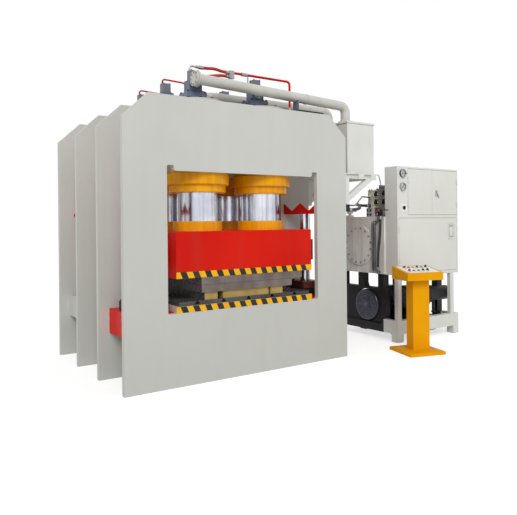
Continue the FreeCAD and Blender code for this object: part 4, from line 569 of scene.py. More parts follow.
class Finish(Enum):
    """Every finish on the machine, with the record's slot that each stands for."""

    # FRAME, RED and CABINET take painted shade that darkens towards the floor.
    FRAME = ("frame_grey", Paint(srgb(204, 205, 199), srgb(197, 198, 191), roughness=0.5,
                                 patch_size=1.3, dust=0.03, painted_floor_shade=0.4))
    RED = ("press_red", Paint(srgb(216, 28, 10), srgb(200, 20, 7), roughness=0.34, patch_size=0.9,
                              coat=0.02, specular=0.10, painted_floor_shade=0.1))
    MAROON = ("press_red", Paint(srgb(126, 54, 50), srgb(100, 44, 42), roughness=0.42,
                                 patch_size=0.3))
    # The cylinders' dark vertical streaks are painted reflections on the glossy barrels.
    YELLOW = ("cylinder_yellow", Paint(srgb(240, 168, 3), srgb(226, 148, 1), roughness=0.26,
                                       patch_size=0.5, coat=0.08, specular=0.16, streaks=0.3))
    AMBER = ("console_amber", Paint(srgb(230, 160, 1), srgb(221, 148, 0), roughness=0.42,
                                    patch_size=0.4, coat=0.0, specular=0.06, dust=0.03))
    # The rams' and columns' dark vertical streaks are painted reflections.
    CHROME = ("ram_chrome", Metal(srgb(232, 233, 240), srgb(204, 207, 220), roughness=0.16,
                                  lines=(1.0, 1.0, 0.02), line_scale=60.0, line_bump=0.05,
                                  streaks=0.42))
    STEEL = ("machined_steel", Metal(srgb(128, 118, 112), srgb(104, 94, 88), roughness=0.42,
                                     lines=(0.05, 1.0, 1.0), line_scale=90.0, line_bump=0.12))
    BRIGHT = ("machined_steel", Metal(srgb(176, 176, 174), srgb(150, 150, 148), roughness=0.30))
    TUBE = ("machined_steel", Metal(srgb(128, 126, 130), srgb(98, 96, 100), roughness=0.32))
    ALLOY = ("machined_steel", Paint(srgb(176, 176, 180), srgb(154, 154, 160), roughness=0.34,
                                     patch_size=0.1, coat=0.2, specular=0.6))
    SLAB = ("machined_steel", Paint(srgb(196, 186, 174), srgb(176, 164, 150), roughness=0.5,
                                    patch_size=0.4, wear=0.4))
    RISER = ("machined_steel", Paint(srgb(176, 150, 84), srgb(146, 122, 66), roughness=0.5,
                                     patch_size=0.25, wear=0.5))
    BLACK = ("black_paint", Paint(srgb(27, 23, 25), srgb(19, 16, 18), roughness=0.42,
                                  patch_size=0.5, dust=0.08, coat=0.0, specular=0.25))
    # Dark oiled steel on the bolster; on the dies' and riser's left faces it is painted shade.
    OILED = ("black_paint", Paint(srgb(84, 80, 83), srgb(48, 46, 50), roughness=0.26,
                                  patch_size=0.3, dust=0.08, wear=0.7))
    MOTOR = ("motor_dark", Paint(srgb(50, 52, 64), srgb(34, 36, 46), roughness=0.30,
                                 patch_size=0.25, coat=0.2, dust=0.12, specular=0.5))
    # Lighter than the motor's paint so that the grille wires show as painted highlights; the lifting eye
    # shares it.
    GRILLE = ("motor_dark", Paint(srgb(98, 104, 122), srgb(72, 78, 94), roughness=0.32,
                                  patch_size=0.1, coat=0.2, specular=0.5))
    VALVE = ("motor_dark", Paint(srgb(98, 110, 140), srgb(72, 82, 108), roughness=0.34,
                                 patch_size=0.2, coat=0.15, specular=0.4))
    COVER = ("motor_dark", Paint(srgb(120, 124, 138), srgb(92, 96, 110), roughness=0.4,
                                 patch_size=0.2))
    TANK = ("tank_grey", Paint(srgb(224, 225, 220), srgb(214, 215, 209), roughness=0.45,
                               patch_size=0.7, dust=0.05))
    PIPE = ("tank_grey", Paint(srgb(204, 202, 196), srgb(190, 188, 180), roughness=0.38,
                               patch_size=0.5, coat=0.15))
    RESERVOIR = ("reservoir_grey", Paint(srgb(232, 232, 224), srgb(216, 214, 204), roughness=0.45,
                                         patch_size=0.4, dust=0.16, streaks=0.4))
    CABINET = ("cabinet_grey", Paint(srgb(224, 224, 218), srgb(217, 217, 210), roughness=0.48,
                                     patch_size=1.0, grain=0.2, dust=0.04, painted_floor_shade=0.3))
    PLATE_WHITE = ("cabinet_grey", Paint(srgb(240, 240, 236), srgb(230, 230, 226), roughness=0.4,
                                         patch_size=0.2, dust=0.03))
    DIAL = ("cabinet_grey", Moulded(srgb(238, 240, 242), srgb(228, 230, 234), roughness=0.5,
                                    grain=0.05))
    GLASS = ("cabinet_grey", Lens(srgb(248, 250, 252), glow=0.0, roughness=0.03, through=1.0))
    STACK = ("machined_steel", Paint(srgb(160, 154, 156), srgb(132, 126, 126), roughness=0.42,
                                     patch_size=0.12))
    LILAC = ("machined_steel", Paint(srgb(176, 174, 182), srgb(150, 148, 158), roughness=0.42,
                                     patch_size=0.12))
    BEIGE = ("machined_steel", Paint(srgb(196, 190, 172), srgb(168, 162, 144), roughness=0.42,
                                     patch_size=0.12))
    COPPER = ("machined_steel", Metal(srgb(142, 120, 100), srgb(116, 98, 82), roughness=0.42))
    KNOB = ("control_plastic", Moulded(srgb(24, 24, 26), srgb(34, 34, 36), roughness=0.32))
    RED_CAP = ("stop_red", Moulded(srgb(200, 24, 20), srgb(178, 18, 16), roughness=0.28))
    GREEN_CAP = ("button_green", Moulded(srgb(24, 132, 60), srgb(20, 112, 50), roughness=0.3))
    RUBBER = ("hose_black", Moulded(srgb(30, 30, 32), srgb(44, 43, 44), roughness=0.5, grain=0.3))
    RED_HOSE = ("hose_red", Moulded(srgb(206, 32, 24), srgb(178, 26, 20), roughness=0.4,
                                    grain=0.25))
    NEEDLE = ("needle_black", Moulded(srgb(18, 18, 18), srgb(26, 26, 26), roughness=0.45))
    LAMP_RED = ("stop_red", Lens(srgb(190, 30, 60), glow=0.05))
    LAMP_GREEN = ("button_green", Lens(srgb(30, 140, 70), glow=0.05))
    LAMP_AMBER = ("console_amber", Lens(srgb(240, 170, 40), glow=0.05))
    STRIPE_YELLOW = ("cylinder_yellow", Paint(srgb(244, 184, 24), srgb(234, 166, 14),
                                              roughness=0.5, patch_size=0.2, dust=0.12,
                                              specular=0.15))
    STRIPE_BLACK = ("black_paint", Paint(srgb(34, 38, 34), srgb(44, 48, 42), roughness=0.5,
                                         patch_size=0.2, dust=0.12, specular=0.2))

    @property
    def slot(self) -> str:
        """Return the record's material slot of this finish."""
        return self.value[0]

    @property
    def material(self) -> bpy.types.Material:
        """Return the finish's material, built once."""
        made = bpy.data.materials.get(self.name.lower())
        return made or self.value[1].material(self.name.lower())


@dataclass(frozen=True)
class Zone:
    """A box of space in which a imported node's faces take another finish."""

    finish: Finish
    low: Point
    high: Point
    place: Matrix | None = None

    def holds(self, spot: Vector) -> bool:
        """Tell whether a point lies in the box, in the box's own axes if it has a place."""
        own = self.place.inverted() @ spot if self.place else spot
        return all(low <= value <= high for low, value, high in zip(self.low, own, self.high))


def dress(node: str, finish: Finish, zones: Sequence[Zone] = ()) -> None:
    """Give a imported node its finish, and the faces in each zone theirs.

    Args:
        node: The node's name.
        finish: The finish of all faces outside the zones.
        zones: Boxes with other finishes, of which a later one wins.
    """
    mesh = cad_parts[node].data
    mesh.materials.clear()
    mesh.materials.append(finish.material)
    for zone in zones:
        mesh.materials.append(zone.finish.material)
    for polygon in mesh.polygons:
        polygon.material_index = 0
        for index, zone in enumerate(zones, 1):
            if zone.holds(polygon.center):
                polygon.material_index = index
    LOG.info("dressed %s in %s", node, finish.name)


# ------------------------------------------------------------------ mesh pieces
class Head(Enum):
    """Kinds of bolt head, each with its sides and its outline in thread diameters.

    The outline of the sunk head has radii only, since its heights don't grow with the thread.
    """

    HEX = (Sides.HEXAGON, ((0.87, 0.0), (0.87, 0.5), (0.76, 0.62), (0.0, 0.62)))
    SOCKET = (Sides.PIN, ((0.75, 0.0), (0.75, 0.86), (0.68, 1.0), (0.42, 1.0), (0.42, 0.5), (0.0, 0.45)))
    SUNK = (Sides.PIN, (0.8, 0.78, 0.45, 0.42, 0.0))
    DOME = (Sides.PIN, ((1.0, 0.0), (0.92, 0.3), (0.6, 0.55), (0.0, 0.62)))

    @property
    def sides(self) -> int:
        """Return how many sides the head is turned with."""
        return self.value[0]

    def outline(self, size: float) -> list[tuple[float, float]]:
        """Work out the head's outline.

        Args:
            size: The thread's diameter.

        Returns:
            (radius, height) points from the seat to the middle of the top.
        """
        if self is Head.SUNK:
            heights = (0.0, SUNK_TOP, SUNK_TOP, SUNK_FLOOR, SUNK_FLOOR)
            return [(size * radius, height) for radius, height in zip(self.value[1], heights)]
        return [(size * radius, size * height) for radius, height in self.value[1]]


def upright(axis: Sequence[float]) -> Matrix:
    """Return the turn that takes +Z onto an axis."""
    return Vector(UP).rotation_difference(Vector(axis).normalized()).to_matrix().to_4x4()


def ring(count: int, radius: float, start: float = 0.0) -> list[tuple[float, float]]:
    """Return evenly spaced points round a circle in a plane."""
    turns = (start + 2 * math.pi * index / count for index in range(count))
    return [(radius * math.cos(turn), radius * math.sin(turn)) for turn in turns]


class Build:
    """One scene piece under construction, made of many small forms."""

    def __init__(self, name: str) -> None:
        """Start an empty piece.

        Args:
            name: The piece's name.
        """
        self.name = name
        self.bm = bmesh.new()
        self.finishes: list[Finish] = []

    def index(self, finish: Finish) -> int:
        """Find the piece's own number of a finish, and add the finish if it is new.

        Args:
            finish: The finish.

        Returns:
            Its number on this piece.
        """
        if finish not in self.finishes:
            self.finishes.append(finish)
        return self.finishes.index(finish)

    def face(self, verts: Sequence[bmesh.types.BMVert], finish: Finish, smooth: bool = False) -> None:
        """Add one face.

        Args:
            verts: Its corners in order.
            finish: Its finish.
            smooth: Whether it is shaded smooth.
        """
        made = self.bm.faces.new(verts)
        made.material_index = self.index(finish)
        made.smooth = smooth

    def turned(self, centre: Sequence[float], axis: Sequence[float], profile: Outline,
               finish: Finish, sides: int = Sides.DISC) -> None:
        """Add a turned form.

        Args:
            centre: Where the profile's height is zero.
            axis: The direction in which height grows.
            profile: (radius, height) points from one end to the other.
            finish: The form's finish.
            sides: Segments round the form.
        """
        place = Matrix.Translation(Vector(centre)) @ upright(axis)
        rings = []
        for radius, height in profile:
            if radius <= POINT_RADIUS:
                rings.append([self.bm.verts.new(place @ Vector((0, 0, height)))])
                continue
            spots = (place @ Vector((x, y, height)) for x, y in ring(sides, radius))
            rings.append([self.bm.verts.new(spot) for spot in spots])
        for low, high in zip(rings, rings[1:]):
            for index in range(sides):
                after = (index + 1) % sides
                if len(low) == 1:
                    self.face((low[0], high[index], high[after]), finish, True)
                elif len(high) == 1:
                    self.face((low[index], low[after], high[0]), finish, True)
                else:
                    self.face((low[index], low[after], high[after], high[index]), finish, True)

    def disc(self, centre: Sequence[float], axis: Sequence[float], radius: float, height: float,
             finish: Finish, chamfer: float = 0.0, sides: int = Sides.DISC) -> None:
        """Add a round plate or pin with a chamfered far edge.

        Args:
            centre: The middle of its near face.
            axis: The direction in which it stands.
            radius: Its radius.
            height: Its thickness.
            finish: Its finish.
            chamfer: The far edge's chamfer.
            sides: Segments round it.
        """
        profile = [(0.0, 0.0), (radius, 0.0), (radius, height - chamfer), (radius - chamfer, height),
                   (0.0, height)]
        self.turned(centre, axis, profile, finish, sides)

    def collar(self, centre: Sequence[float], axis: Sequence[float], inner: float, outer: float,
               height: float, finish: Finish, sides: int = Sides.DISC) -> None:
        """Add a ring with a square section.

        Args:
            centre: The middle of its near face.
            axis: The direction in which it stands.
            inner: Its inner radius.
            outer: Its outer radius.
            height: Its thickness.
            finish: Its finish.
            sides: Segments round it.
        """
        profile = [(inner, 0.0), (outer, 0.0), (outer, height), (inner, height), (inner, 0.0)]
        self.turned(centre, axis, profile, finish, sides)

    def bead(self, centre: Sequence[float], axis: Sequence[float], radius: float, thickness: float,
             finish: Finish, sides: int = Sides.DISC) -> None:
        """Add a round bead, such as a weld, round a form.

        Args:
            centre: The bead's middle.
            axis: The axis that it goes round.
            radius: From the axis to the middle of the bead.
            thickness: The bead's own diameter.
            finish: Its finish.
            sides: Segments round it.
        """
        half = thickness / 2
        turns = (2 * math.pi * step / BEAD_STEPS for step in range(BEAD_STEPS + 1))
        profile = [(radius + half * math.cos(turn), half * math.sin(turn)) for turn in turns]
        self.turned(centre, axis, profile, finish, sides)

    def block(self, low: Sequence[float], high: Sequence[float], finish: Finish,
              rounding: float = 0.0, turn: Matrix | None = None) -> None:
        """Add a box between two corners.

        Args:
            low: Its lowest corner.
            high: Its highest corner.
            finish: Its finish.
            rounding: The radius of its edges.
            turn: A place in whose axes the corners are given.
        """
        centre = (Vector(low) + Vector(high)) / 2
        size = Vector(high) - Vector(low)
        place = Matrix.Translation(centre) @ Matrix.Diagonal((*size, 1.0))
        made = bmesh.ops.create_cube(self.bm, size=1.0, matrix=(turn or Matrix.Identity(4)) @ place)
        verts = made["verts"]
        faces = dict.fromkeys(item for vert in verts for item in vert.link_faces)
        for item in faces:
            item.material_index = self.index(finish)
        if rounding > 0:
            edges = dict.fromkeys(item for vert in verts for item in vert.link_edges)
            bevelled = bmesh.ops.bevel(self.bm, geom=list(edges), offset=rounding, segments=2,
                                       affect="EDGES", profile=0.5, clamp_overlap=True)
            for item in bevelled["faces"]:
                item.material_index = self.index(finish)

    def quad(self, corners: Sequence[Sequence[float]], finish: Finish) -> None:
        """Add a flat four-sided patch."""
        self.face([self.bm.verts.new(Vector(corner)) for corner in corners], finish)

    def bolt(self, centre: Sequence[float], axis: Sequence[float], size: float, kind: Head,
             finish: Finish) -> None:
        """Add a bolt head, with a washer under a hexagon.

        Args:
            centre: The middle of its seat.
            axis: The direction in which it stands out.
            size: The thread's diameter.
            kind: The head's kind.
            finish: The head's finish.
        """
        foot = centre
        if kind is Head.HEX:
            self.disc(centre, axis, size * WASHER_RADIUS, size * WASHER_HEIGHT, finish,
                      size * WASHER_CHAMFER, Sides.WASHER)
            foot = Vector(centre) + Vector(axis).normalized() * size * WASHER_HEIGHT
        self.turned(foot, axis, kind.outline(size), finish, kind.sides)

    def bolt_circle(self, centre: Sequence[float], axis: Sequence[float], pitch_radius: float,
                    count: int, size: float, kind: Head, finish: Finish, start: float = 0.0) -> None:
        """Add bolt heads round a circle.

        Args:
            centre: The circle's middle.
            axis: The direction in which the heads stand out.
            pitch_radius: The circle's radius.
            count: How many heads there are.
            size: The thread's diameter.
            kind: The heads' kind.
            finish: The heads' finish.
            start: The first head's turn.
        """
        place = Matrix.Translation(Vector(centre)) @ upright(axis)
        for x, y in ring(count, pitch_radius, start):
            self.bolt(place @ Vector((x, y, 0.0)), axis, size, kind, finish)

    def ride(self, body: str, smooth: bool = False) -> bpy.types.Object:
        """Close the piece and let it ride on a body.

        Args:
            body: The body's name.
            smooth: Whether to shade every face smooth where it meets its neighbours gently.

        Returns:
            The finished object.
        """
        bmesh.ops.recalc_face_normals(self.bm, faces=self.bm.faces)
        mesh = bpy.data.meshes.new(self.name)
        self.bm.to_mesh(mesh)
        self.bm.free()
        for finish in self.finishes:
            mesh.materials.append(finish.material)
        made = bpy.data.objects.new(self.name, mesh)
        bpy.context.scene.collection.objects.link(made)
        mesh.set_sharp_from_angle(angle=SHARP_ANGLE)
        if smooth:
            mesh.polygons.foreach_set("use_smooth", [True] * len(mesh.polygons))
        self.finishes[0].slot
        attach(made, body)
        LOG.info("built %s on %s", self.name, body)
        return made


# ------------------------------------------------------------------ press
@dataclass
class HazardStripe:
    """Slanted yellow and black bars along a front edge."""

    name: str
    body: str
    bottom: float
    top: float
    front: float
    half_length: float = 0.835
    bars: int = 25
    lean: float = 0.026
    proud: float = 0.0006

    def build(self) -> None:
        """Build the stripe."""
        piece = Build(self.name)
        left, right = -self.half_length, self.half_length
        pitch = (right - left) / self.bars
        y = self.front - self.proud
        for index in range(self.bars):
            x0, x1 = left + pitch * index, left + pitch * (index + 1)
            lean0 = 0.0 if index == 0 else self.lean
            lean1 = 0.0 if index == self.bars - 1 else self.lean
            finish = Finish.STRIPE_YELLOW if index % 2 == 0 else Finish.STRIPE_BLACK
            piece.quad([(x0, y, self.bottom), (x1, y, self.bottom), (x1 - lean1, y, self.top),
                        (x0 - lean0, y, self.top)], finish)
        piece.ride(self.body)


@dataclass
class Frame:
    """The four frame plates, the table and its tooling."""

    plates: tuple[str, ...] = ("frame_plate_front", "frame_plate_second", "frame_plate_third",
                               "frame_plate_rear")
    plate_edge: float = 1.3635
    bracket_reach: float = 1.2
    bracket_low: float = 1.66
    bracket_high: float = 1.81
    bulkhead: Box = ((0.0005, -0.03, 1.69), (0.1, 0.03, 1.78))
    slab: Box = ((-0.8355, -0.03, 0.4600), (0.8355, 2.1, 0.7715))
    rear_foot_inner: float = 0.836
    rear_foot: Box = ((1.3, 1.4, 0.4), (1.3, 2.1, 0.75))
    riser_height: float = 0.0765
    riser_left: float = -0.515
    riser_front: float = 0.03
    riser_seam: float = 0.0001
    face_margin: float = 0.001
    stripe_bottom: float = 0.7105
    stripe_top: float = 0.7705

    def build(self) -> None:
        """Dress the plates, table and tooling and add the stripe."""
        for row, name in enumerate(self.plates):
            self.plate(row, name)
        (_, y0, z0), (reach, y1, z1) = self.rear_foot
        inner = self.rear_foot_inner
        dress("lower_table", Finish.RED, [
            Zone(Finish.SLAB, *self.slab),
            Zone(Finish.FRAME, (-reach, y0, z0), (-inner, y1, z1)),
            Zone(Finish.FRAME, (inner, y0, z0), (reach, y1, z1))])
        dress("bolster_plate", Finish.OILED)
        self.dies()
        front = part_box("lower_table")[0].y
        HazardStripe("table_stripe", "press", self.stripe_bottom, self.stripe_top, front).build()

    def plate(self, row: int, name: str) -> None:
        """Dress one frame plate, with its red guide brackets and its black bulkhead block.

        Args:
            row: The plate's number from the front.
            name: The plate's node.
        """
        y = row * PLATE_PITCH
        zones = []
        front, rear = 0, len(self.plates) - 1
        if row in (front, rear):
            y0, y1 = (HALF_PLATE, y + PLATE_PITCH) if row == front else (y - PLATE_PITCH, y - HALF_PLATE)
            zones = [Zone(Finish.RED, (-self.bracket_reach, y0 + SKIN, self.bracket_low),
                          (self.bracket_reach, y1 - SKIN, self.bracket_high))]
        if row == front:
            (dx0, y0, z0), (dx1, y1, z1) = self.bulkhead
            edge = self.plate_edge
            zones.append(Zone(Finish.BLACK, (edge + dx0, y0, z0), (edge + dx1, y1, z1)))
        dress(name, Finish.FRAME, zones)

    def dies(self) -> None:
        """Dress both die plates, their left sides darkened as painted shade, and the lower one's risers.
        """
        margin = self.face_margin
        low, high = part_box("lower_die")
        riser_top = low.z + self.riser_height
        dress("lower_die", Finish.STEEL, [
            Zone(Finish.RISER, (low.x, low.y, low.z - margin), (high.x, high.y, riser_top)),
            # Painted shade: the lower die's and its riser's left faces take the dark oiled finish.
            Zone(Finish.OILED, (low.x - margin, low.y, riser_top + self.riser_seam),
                 (low.x + margin, high.y, high.z)),
            Zone(Finish.OILED, (self.riser_left - margin, low.y + self.riser_front, low.z),
                 (self.riser_left + margin, high.y, riser_top))])
        low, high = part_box("upper_die")
        # Painted shade: the upper die's left face takes the dark oiled finish.
        dress("upper_die", Finish.STEEL, [
            Zone(Finish.OILED, (low.x - margin, low.y, low.z), (low.x + margin, high.y, high.z))])


@dataclass
class Rams:
    """The platen with its rams, clamp rings and guides."""

    ring_height: float = 0.100
    ring_bolts: int = 12
    ring_pitch_radius: float = 0.242
    ring_bolt: float = 0.018
    stripe_rise: float = 0.001
    stripe_height: float = 0.063
    foot_margin: float = 0.01
    pad_height: float = 0.086
    flange_height: float = 0.160
    flange_bolt_reach: float = 0.098
    flange_bolt: float = 0.022
    pad_bolt_reach: Span = (0.148, 0.14)
    pad_bolt: float = 0.018
    weld_radius: float = 0.062
    weld: float = 0.010

    def build(self) -> None:
        """Dress the moving pieces and guides and add the ring bolts."""
        dress("platen", Finish.RED)
        dress("ram_clamp_rings", Finish.YELLOW)
        low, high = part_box("platen")
        HazardStripe("platen_stripe", "moving_platen", low.z + self.stripe_rise,
                     low.z + self.stripe_height, low.y).build()
        bolts = Build("ring_bolts")
        for row in range(len(ROWS)):
            for side in SIDES.values():
                seat = (side * CYLINDER_X, gap_middle(row), high.z + self.ring_height)
                bolts.bolt_circle(seat, UP, self.ring_pitch_radius, self.ring_bolts, self.ring_bolt,
                                  Head.SUNK, Finish.YELLOW)
        bolts.ride("moving_platen")
        for row_name in ROWS:
            for side_name in SIDES:
                dress(f"ram_{row_name}_{side_name}", Finish.CHROME)
        for row_name in ("front", "rear"):
            for side_name in SIDES:
                self.column(f"guide_column_{row_name}_{side_name}")

    def column(self, node: str) -> None:
        """Dress one guide column: black pad, maroon flange, chrome shaft, and its bolts.

        Args:
            node: The column's node.
        """
        low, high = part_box(node)
        pad, flange = low.z + self.pad_height, low.z + self.flange_height
        dress(node, Finish.CHROME, [
            Zone(Finish.BLACK, (-FAR, -FAR, low.z - self.foot_margin), (FAR, FAR, pad + SKIN)),
            Zone(Finish.MAROON, (-FAR, -FAR, pad + SKIN), (FAR, FAR, flange + SKIN))])
        x, y = (low.x + high.x) / 2, (low.y + high.y) / 2
        near, (far_x, far_y) = self.flange_bolt_reach, self.pad_bolt_reach
        bolts = Build(f"{node}_bolts")
        for dx in BOTH:
            for dy in BOTH:
                bolts.bolt((x + dx * near, y + dy * near, flange), UP, self.flange_bolt, Head.HEX,
                           Finish.BRIGHT)
                bolts.bolt((x + dx * far_x, y + dy * far_y, pad), UP, self.pad_bolt, Head.SOCKET,
                           Finish.BLACK)
        bolts.bead((x, y, flange), UP, self.weld_radius, self.weld, Finish.MAROON)
        bolts.ride("press")


@dataclass
class Cylinders:
    """The six cylinders with the prefill valves on their heads."""

    grey_from: float = 2.76
    head: float = 2.840
    block_top: float = 2.960
    neck_top: float = 3.095
    cover_top: float = 3.205
    valve_dx: float = 0.027
    valve_dy: float = 0.127
    block_half: Span = (0.121, 0.101)
    neck_half: Span = (0.076, 0.066)
    cover_half: float = 0.049
    gland_z: float = 1.888
    gland_pitch_radius: float = 0.262
    gland_bolts: int = 16
    gland_bolt: float = 0.016
    head_pitch_radius: float = 0.245
    head_bolts: int = 12
    head_bolt: float = 0.022
    head_bolt_turn: float = 0.2
    sleeve: tuple[tuple[float, float], ...] = ((0.2800, -0.060), (0.2808, -0.058), (0.2808, 0.0006),
                                               (0.2796, 0.0012), (0.2640, 0.0012))
    block_bolt_reach: Span = (0.100, 0.080)
    block_bolt: float = 0.018
    cover_bolt_reach: float = 0.038
    cover_bolt: float = 0.008
    neck_foot_half: Span = (0.082, 0.072)
    neck_foot_height: float = 0.018
    neck_rim_half: Span = (0.064, 0.056)
    neck_rim_drop: float = 0.012
    neck_rim_rise: float = 0.0002
    rounding: float = 0.002

    def build(self) -> None:
        """Dress the cylinders and add their bolts and valve fittings."""
        for row, row_name in enumerate(ROWS):
            for side_name, side in SIDES.items():
                node = f"cylinder_{row_name}_{side_name}"
                x, y = side * CYLINDER_X + self.valve_dx, gap_middle(row) + self.valve_dy
                pipe = Finish.BRIGHT if row == 0 else Finish.RED
                (bx, by), (nx, ny), c = self.block_half, self.neck_half, self.cover_half
                dress(node, Finish.YELLOW, [
                    Zone(Finish.FRAME, (-FAR, -FAR, self.grey_from), (FAR, FAR, self.head + SKIN)),
                    Zone(pipe, (-FAR, -FAR, self.head + 2 * SKIN), (FAR, FAR, FAR)),
                    Zone(Finish.VALVE, (x - bx, y - by, self.head + 2 * SKIN),
                         (x + bx, y + by, self.block_top + SKIN)),
                    Zone(Finish.VALVE, (x - nx, y - ny, self.block_top),
                         (x + nx, y + ny, self.neck_top)),
                    Zone(Finish.COVER, (x - c, y - c, self.neck_top - 2 * SKIN),
                         (x + c, y + c, self.cover_top + 2 * SKIN))])
                self.fittings(node, (side * CYLINDER_X, gap_middle(row)), (x, y))

    def fittings(self, node: str, axis: tuple[float, float], valve: tuple[float, float]) -> None:
        """Add a cylinder's gland and head bolts, its grey sleeve and its valve's fittings.

        Args:
            node: The cylinder's node.
            axis: The cylinder's X and Y.
            valve: The valve's X and Y.
        """
        piece = Build(f"{node}_fittings")
        piece.bolt_circle((*axis, self.gland_z), DOWN, self.gland_pitch_radius, self.gland_bolts,
                          self.gland_bolt, Head.SUNK, Finish.YELLOW)
        piece.bolt_circle((*axis, self.head), UP, self.head_pitch_radius, self.head_bolts,
                          self.head_bolt, Head.HEX, Finish.BLACK, self.head_bolt_turn)
        piece.turned((*axis, self.head), UP, self.sleeve, Finish.FRAME, Sides.BARREL)
        x, y = valve
        (bx, by), c = self.block_bolt_reach, self.cover_bolt_reach
        for dx in BOTH:
            for dy in BOTH:
                piece.bolt((x + dx * bx, y + dy * by, self.block_top), UP, self.block_bolt,
                           Head.SOCKET, Finish.BLACK)
                piece.bolt((x + dx * c, y + dy * c, self.cover_top), UP, self.cover_bolt,
                           Head.SOCKET, Finish.BLACK)
        (fx, fy), (rx, ry) = self.neck_foot_half, self.neck_rim_half
        piece.block((x - fx, y - fy, self.block_top),
                    (x + fx, y + fy, self.block_top + self.neck_foot_height), Finish.VALVE,
                    self.rounding)
        piece.block((x - rx, y - ry, self.neck_top - self.neck_rim_drop),
                    (x + rx, y + ry, self.neck_top + self.neck_rim_rise), Finish.COVER,
                    self.rounding)
        piece.ride("press")


# ------------------------------------------------------------------ pipework
@dataclass
class Hose:
    """One free hose with a crimped ferrule at each end."""

    node: str
    points: Sequence[Point]
    radius: float
    finish: Finish
    stiffness: str = "medium"
    lay: str = "hanging"
    steps: int = 12
    roundness: int = 8
    nut: Outline = ((0.0, 0.0), (1.35, 0.0), (1.35, 0.7), (1.12, 0.8))
    crimp: Outline = ((1.02, 0.8), (1.22, 0.9), (1.22, 1.6), (1.14, 1.7), (1.22, 1.8), (1.22, 2.5),
                      (1.02, 2.6))

    def build(self) -> None:
        """Build the hose along its route and its two ferrules."""
        data = self.line()
        hose = bpy.data.objects.new(self.node + "_hose", data)
        bpy.context.scene.collection.objects.link(hose)
        data.materials.append(self.finish.material)
        self.finish.slot
        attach(hose, "press")
        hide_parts(self.node)
        length = self.length(data)
        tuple(self.points[0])
        self.ferrules()
        LOG.info("hose %s is %.3f m long", self.node, length)

    def line(self) -> bpy.types.Curve:
        """Make the hose's curve.

        Returns:
            The curve, with the hose's thickness.
        """
        data = bpy.data.curves.new(self.node + "_line", "CURVE")
        data.dimensions = "3D"
        line = data.splines.new("NURBS")
        line.points.add(len(self.points) - 1)
        for point, place in zip(line.points, self.points):
            point.co = (*place, 1.0)
        line.order_u = 3
        line.use_endpoint_u = True
        line.resolution_u = self.steps
        data.bevel_depth = self.radius
        data.bevel_resolution = self.roundness
        data.use_fill_caps = True
        return data

    def length(self, data: bpy.types.Curve) -> float:
        """Measure the hose along its curve.

        Args:
            data: The hose's curve.

        Returns:
            The length in metres.
        """
        bare = data.copy()
        bare.bevel_depth = 0.0
        probe = bpy.data.objects.new("probe", bare)
        mesh = bpy.data.meshes.new_from_object(probe)
        spots = [vert.co.copy() for vert in mesh.vertices]
        length = sum((after - before).length for before, after in zip(spots, spots[1:]))
        bpy.data.objects.remove(probe)
        bpy.data.curves.remove(bare)
        bpy.data.meshes.remove(mesh)
        return length

    def ferrules(self) -> bpy.types.Object:
        """Build the hexagon nut and crimped sleeve at both ends.

        Returns:
            The finished piece.
        """
        ends = Build(self.node + "_ferrules")
        r = self.radius
        for start, towards in ((self.points[0], self.points[1]), (self.points[-1], self.points[-2])):
            way = (Vector(towards) - Vector(start)).normalized()
            ends.turned(start, way, [(r * across, r * along) for across, along in self.nut],
                        Finish.BRIGHT, Sides.HEXAGON)
            ends.turned(start, way, [(r * across, r * along) for across, along in self.crimp],
                        Finish.BRIGHT, Sides.TUBE)
        return ends.ride("press")


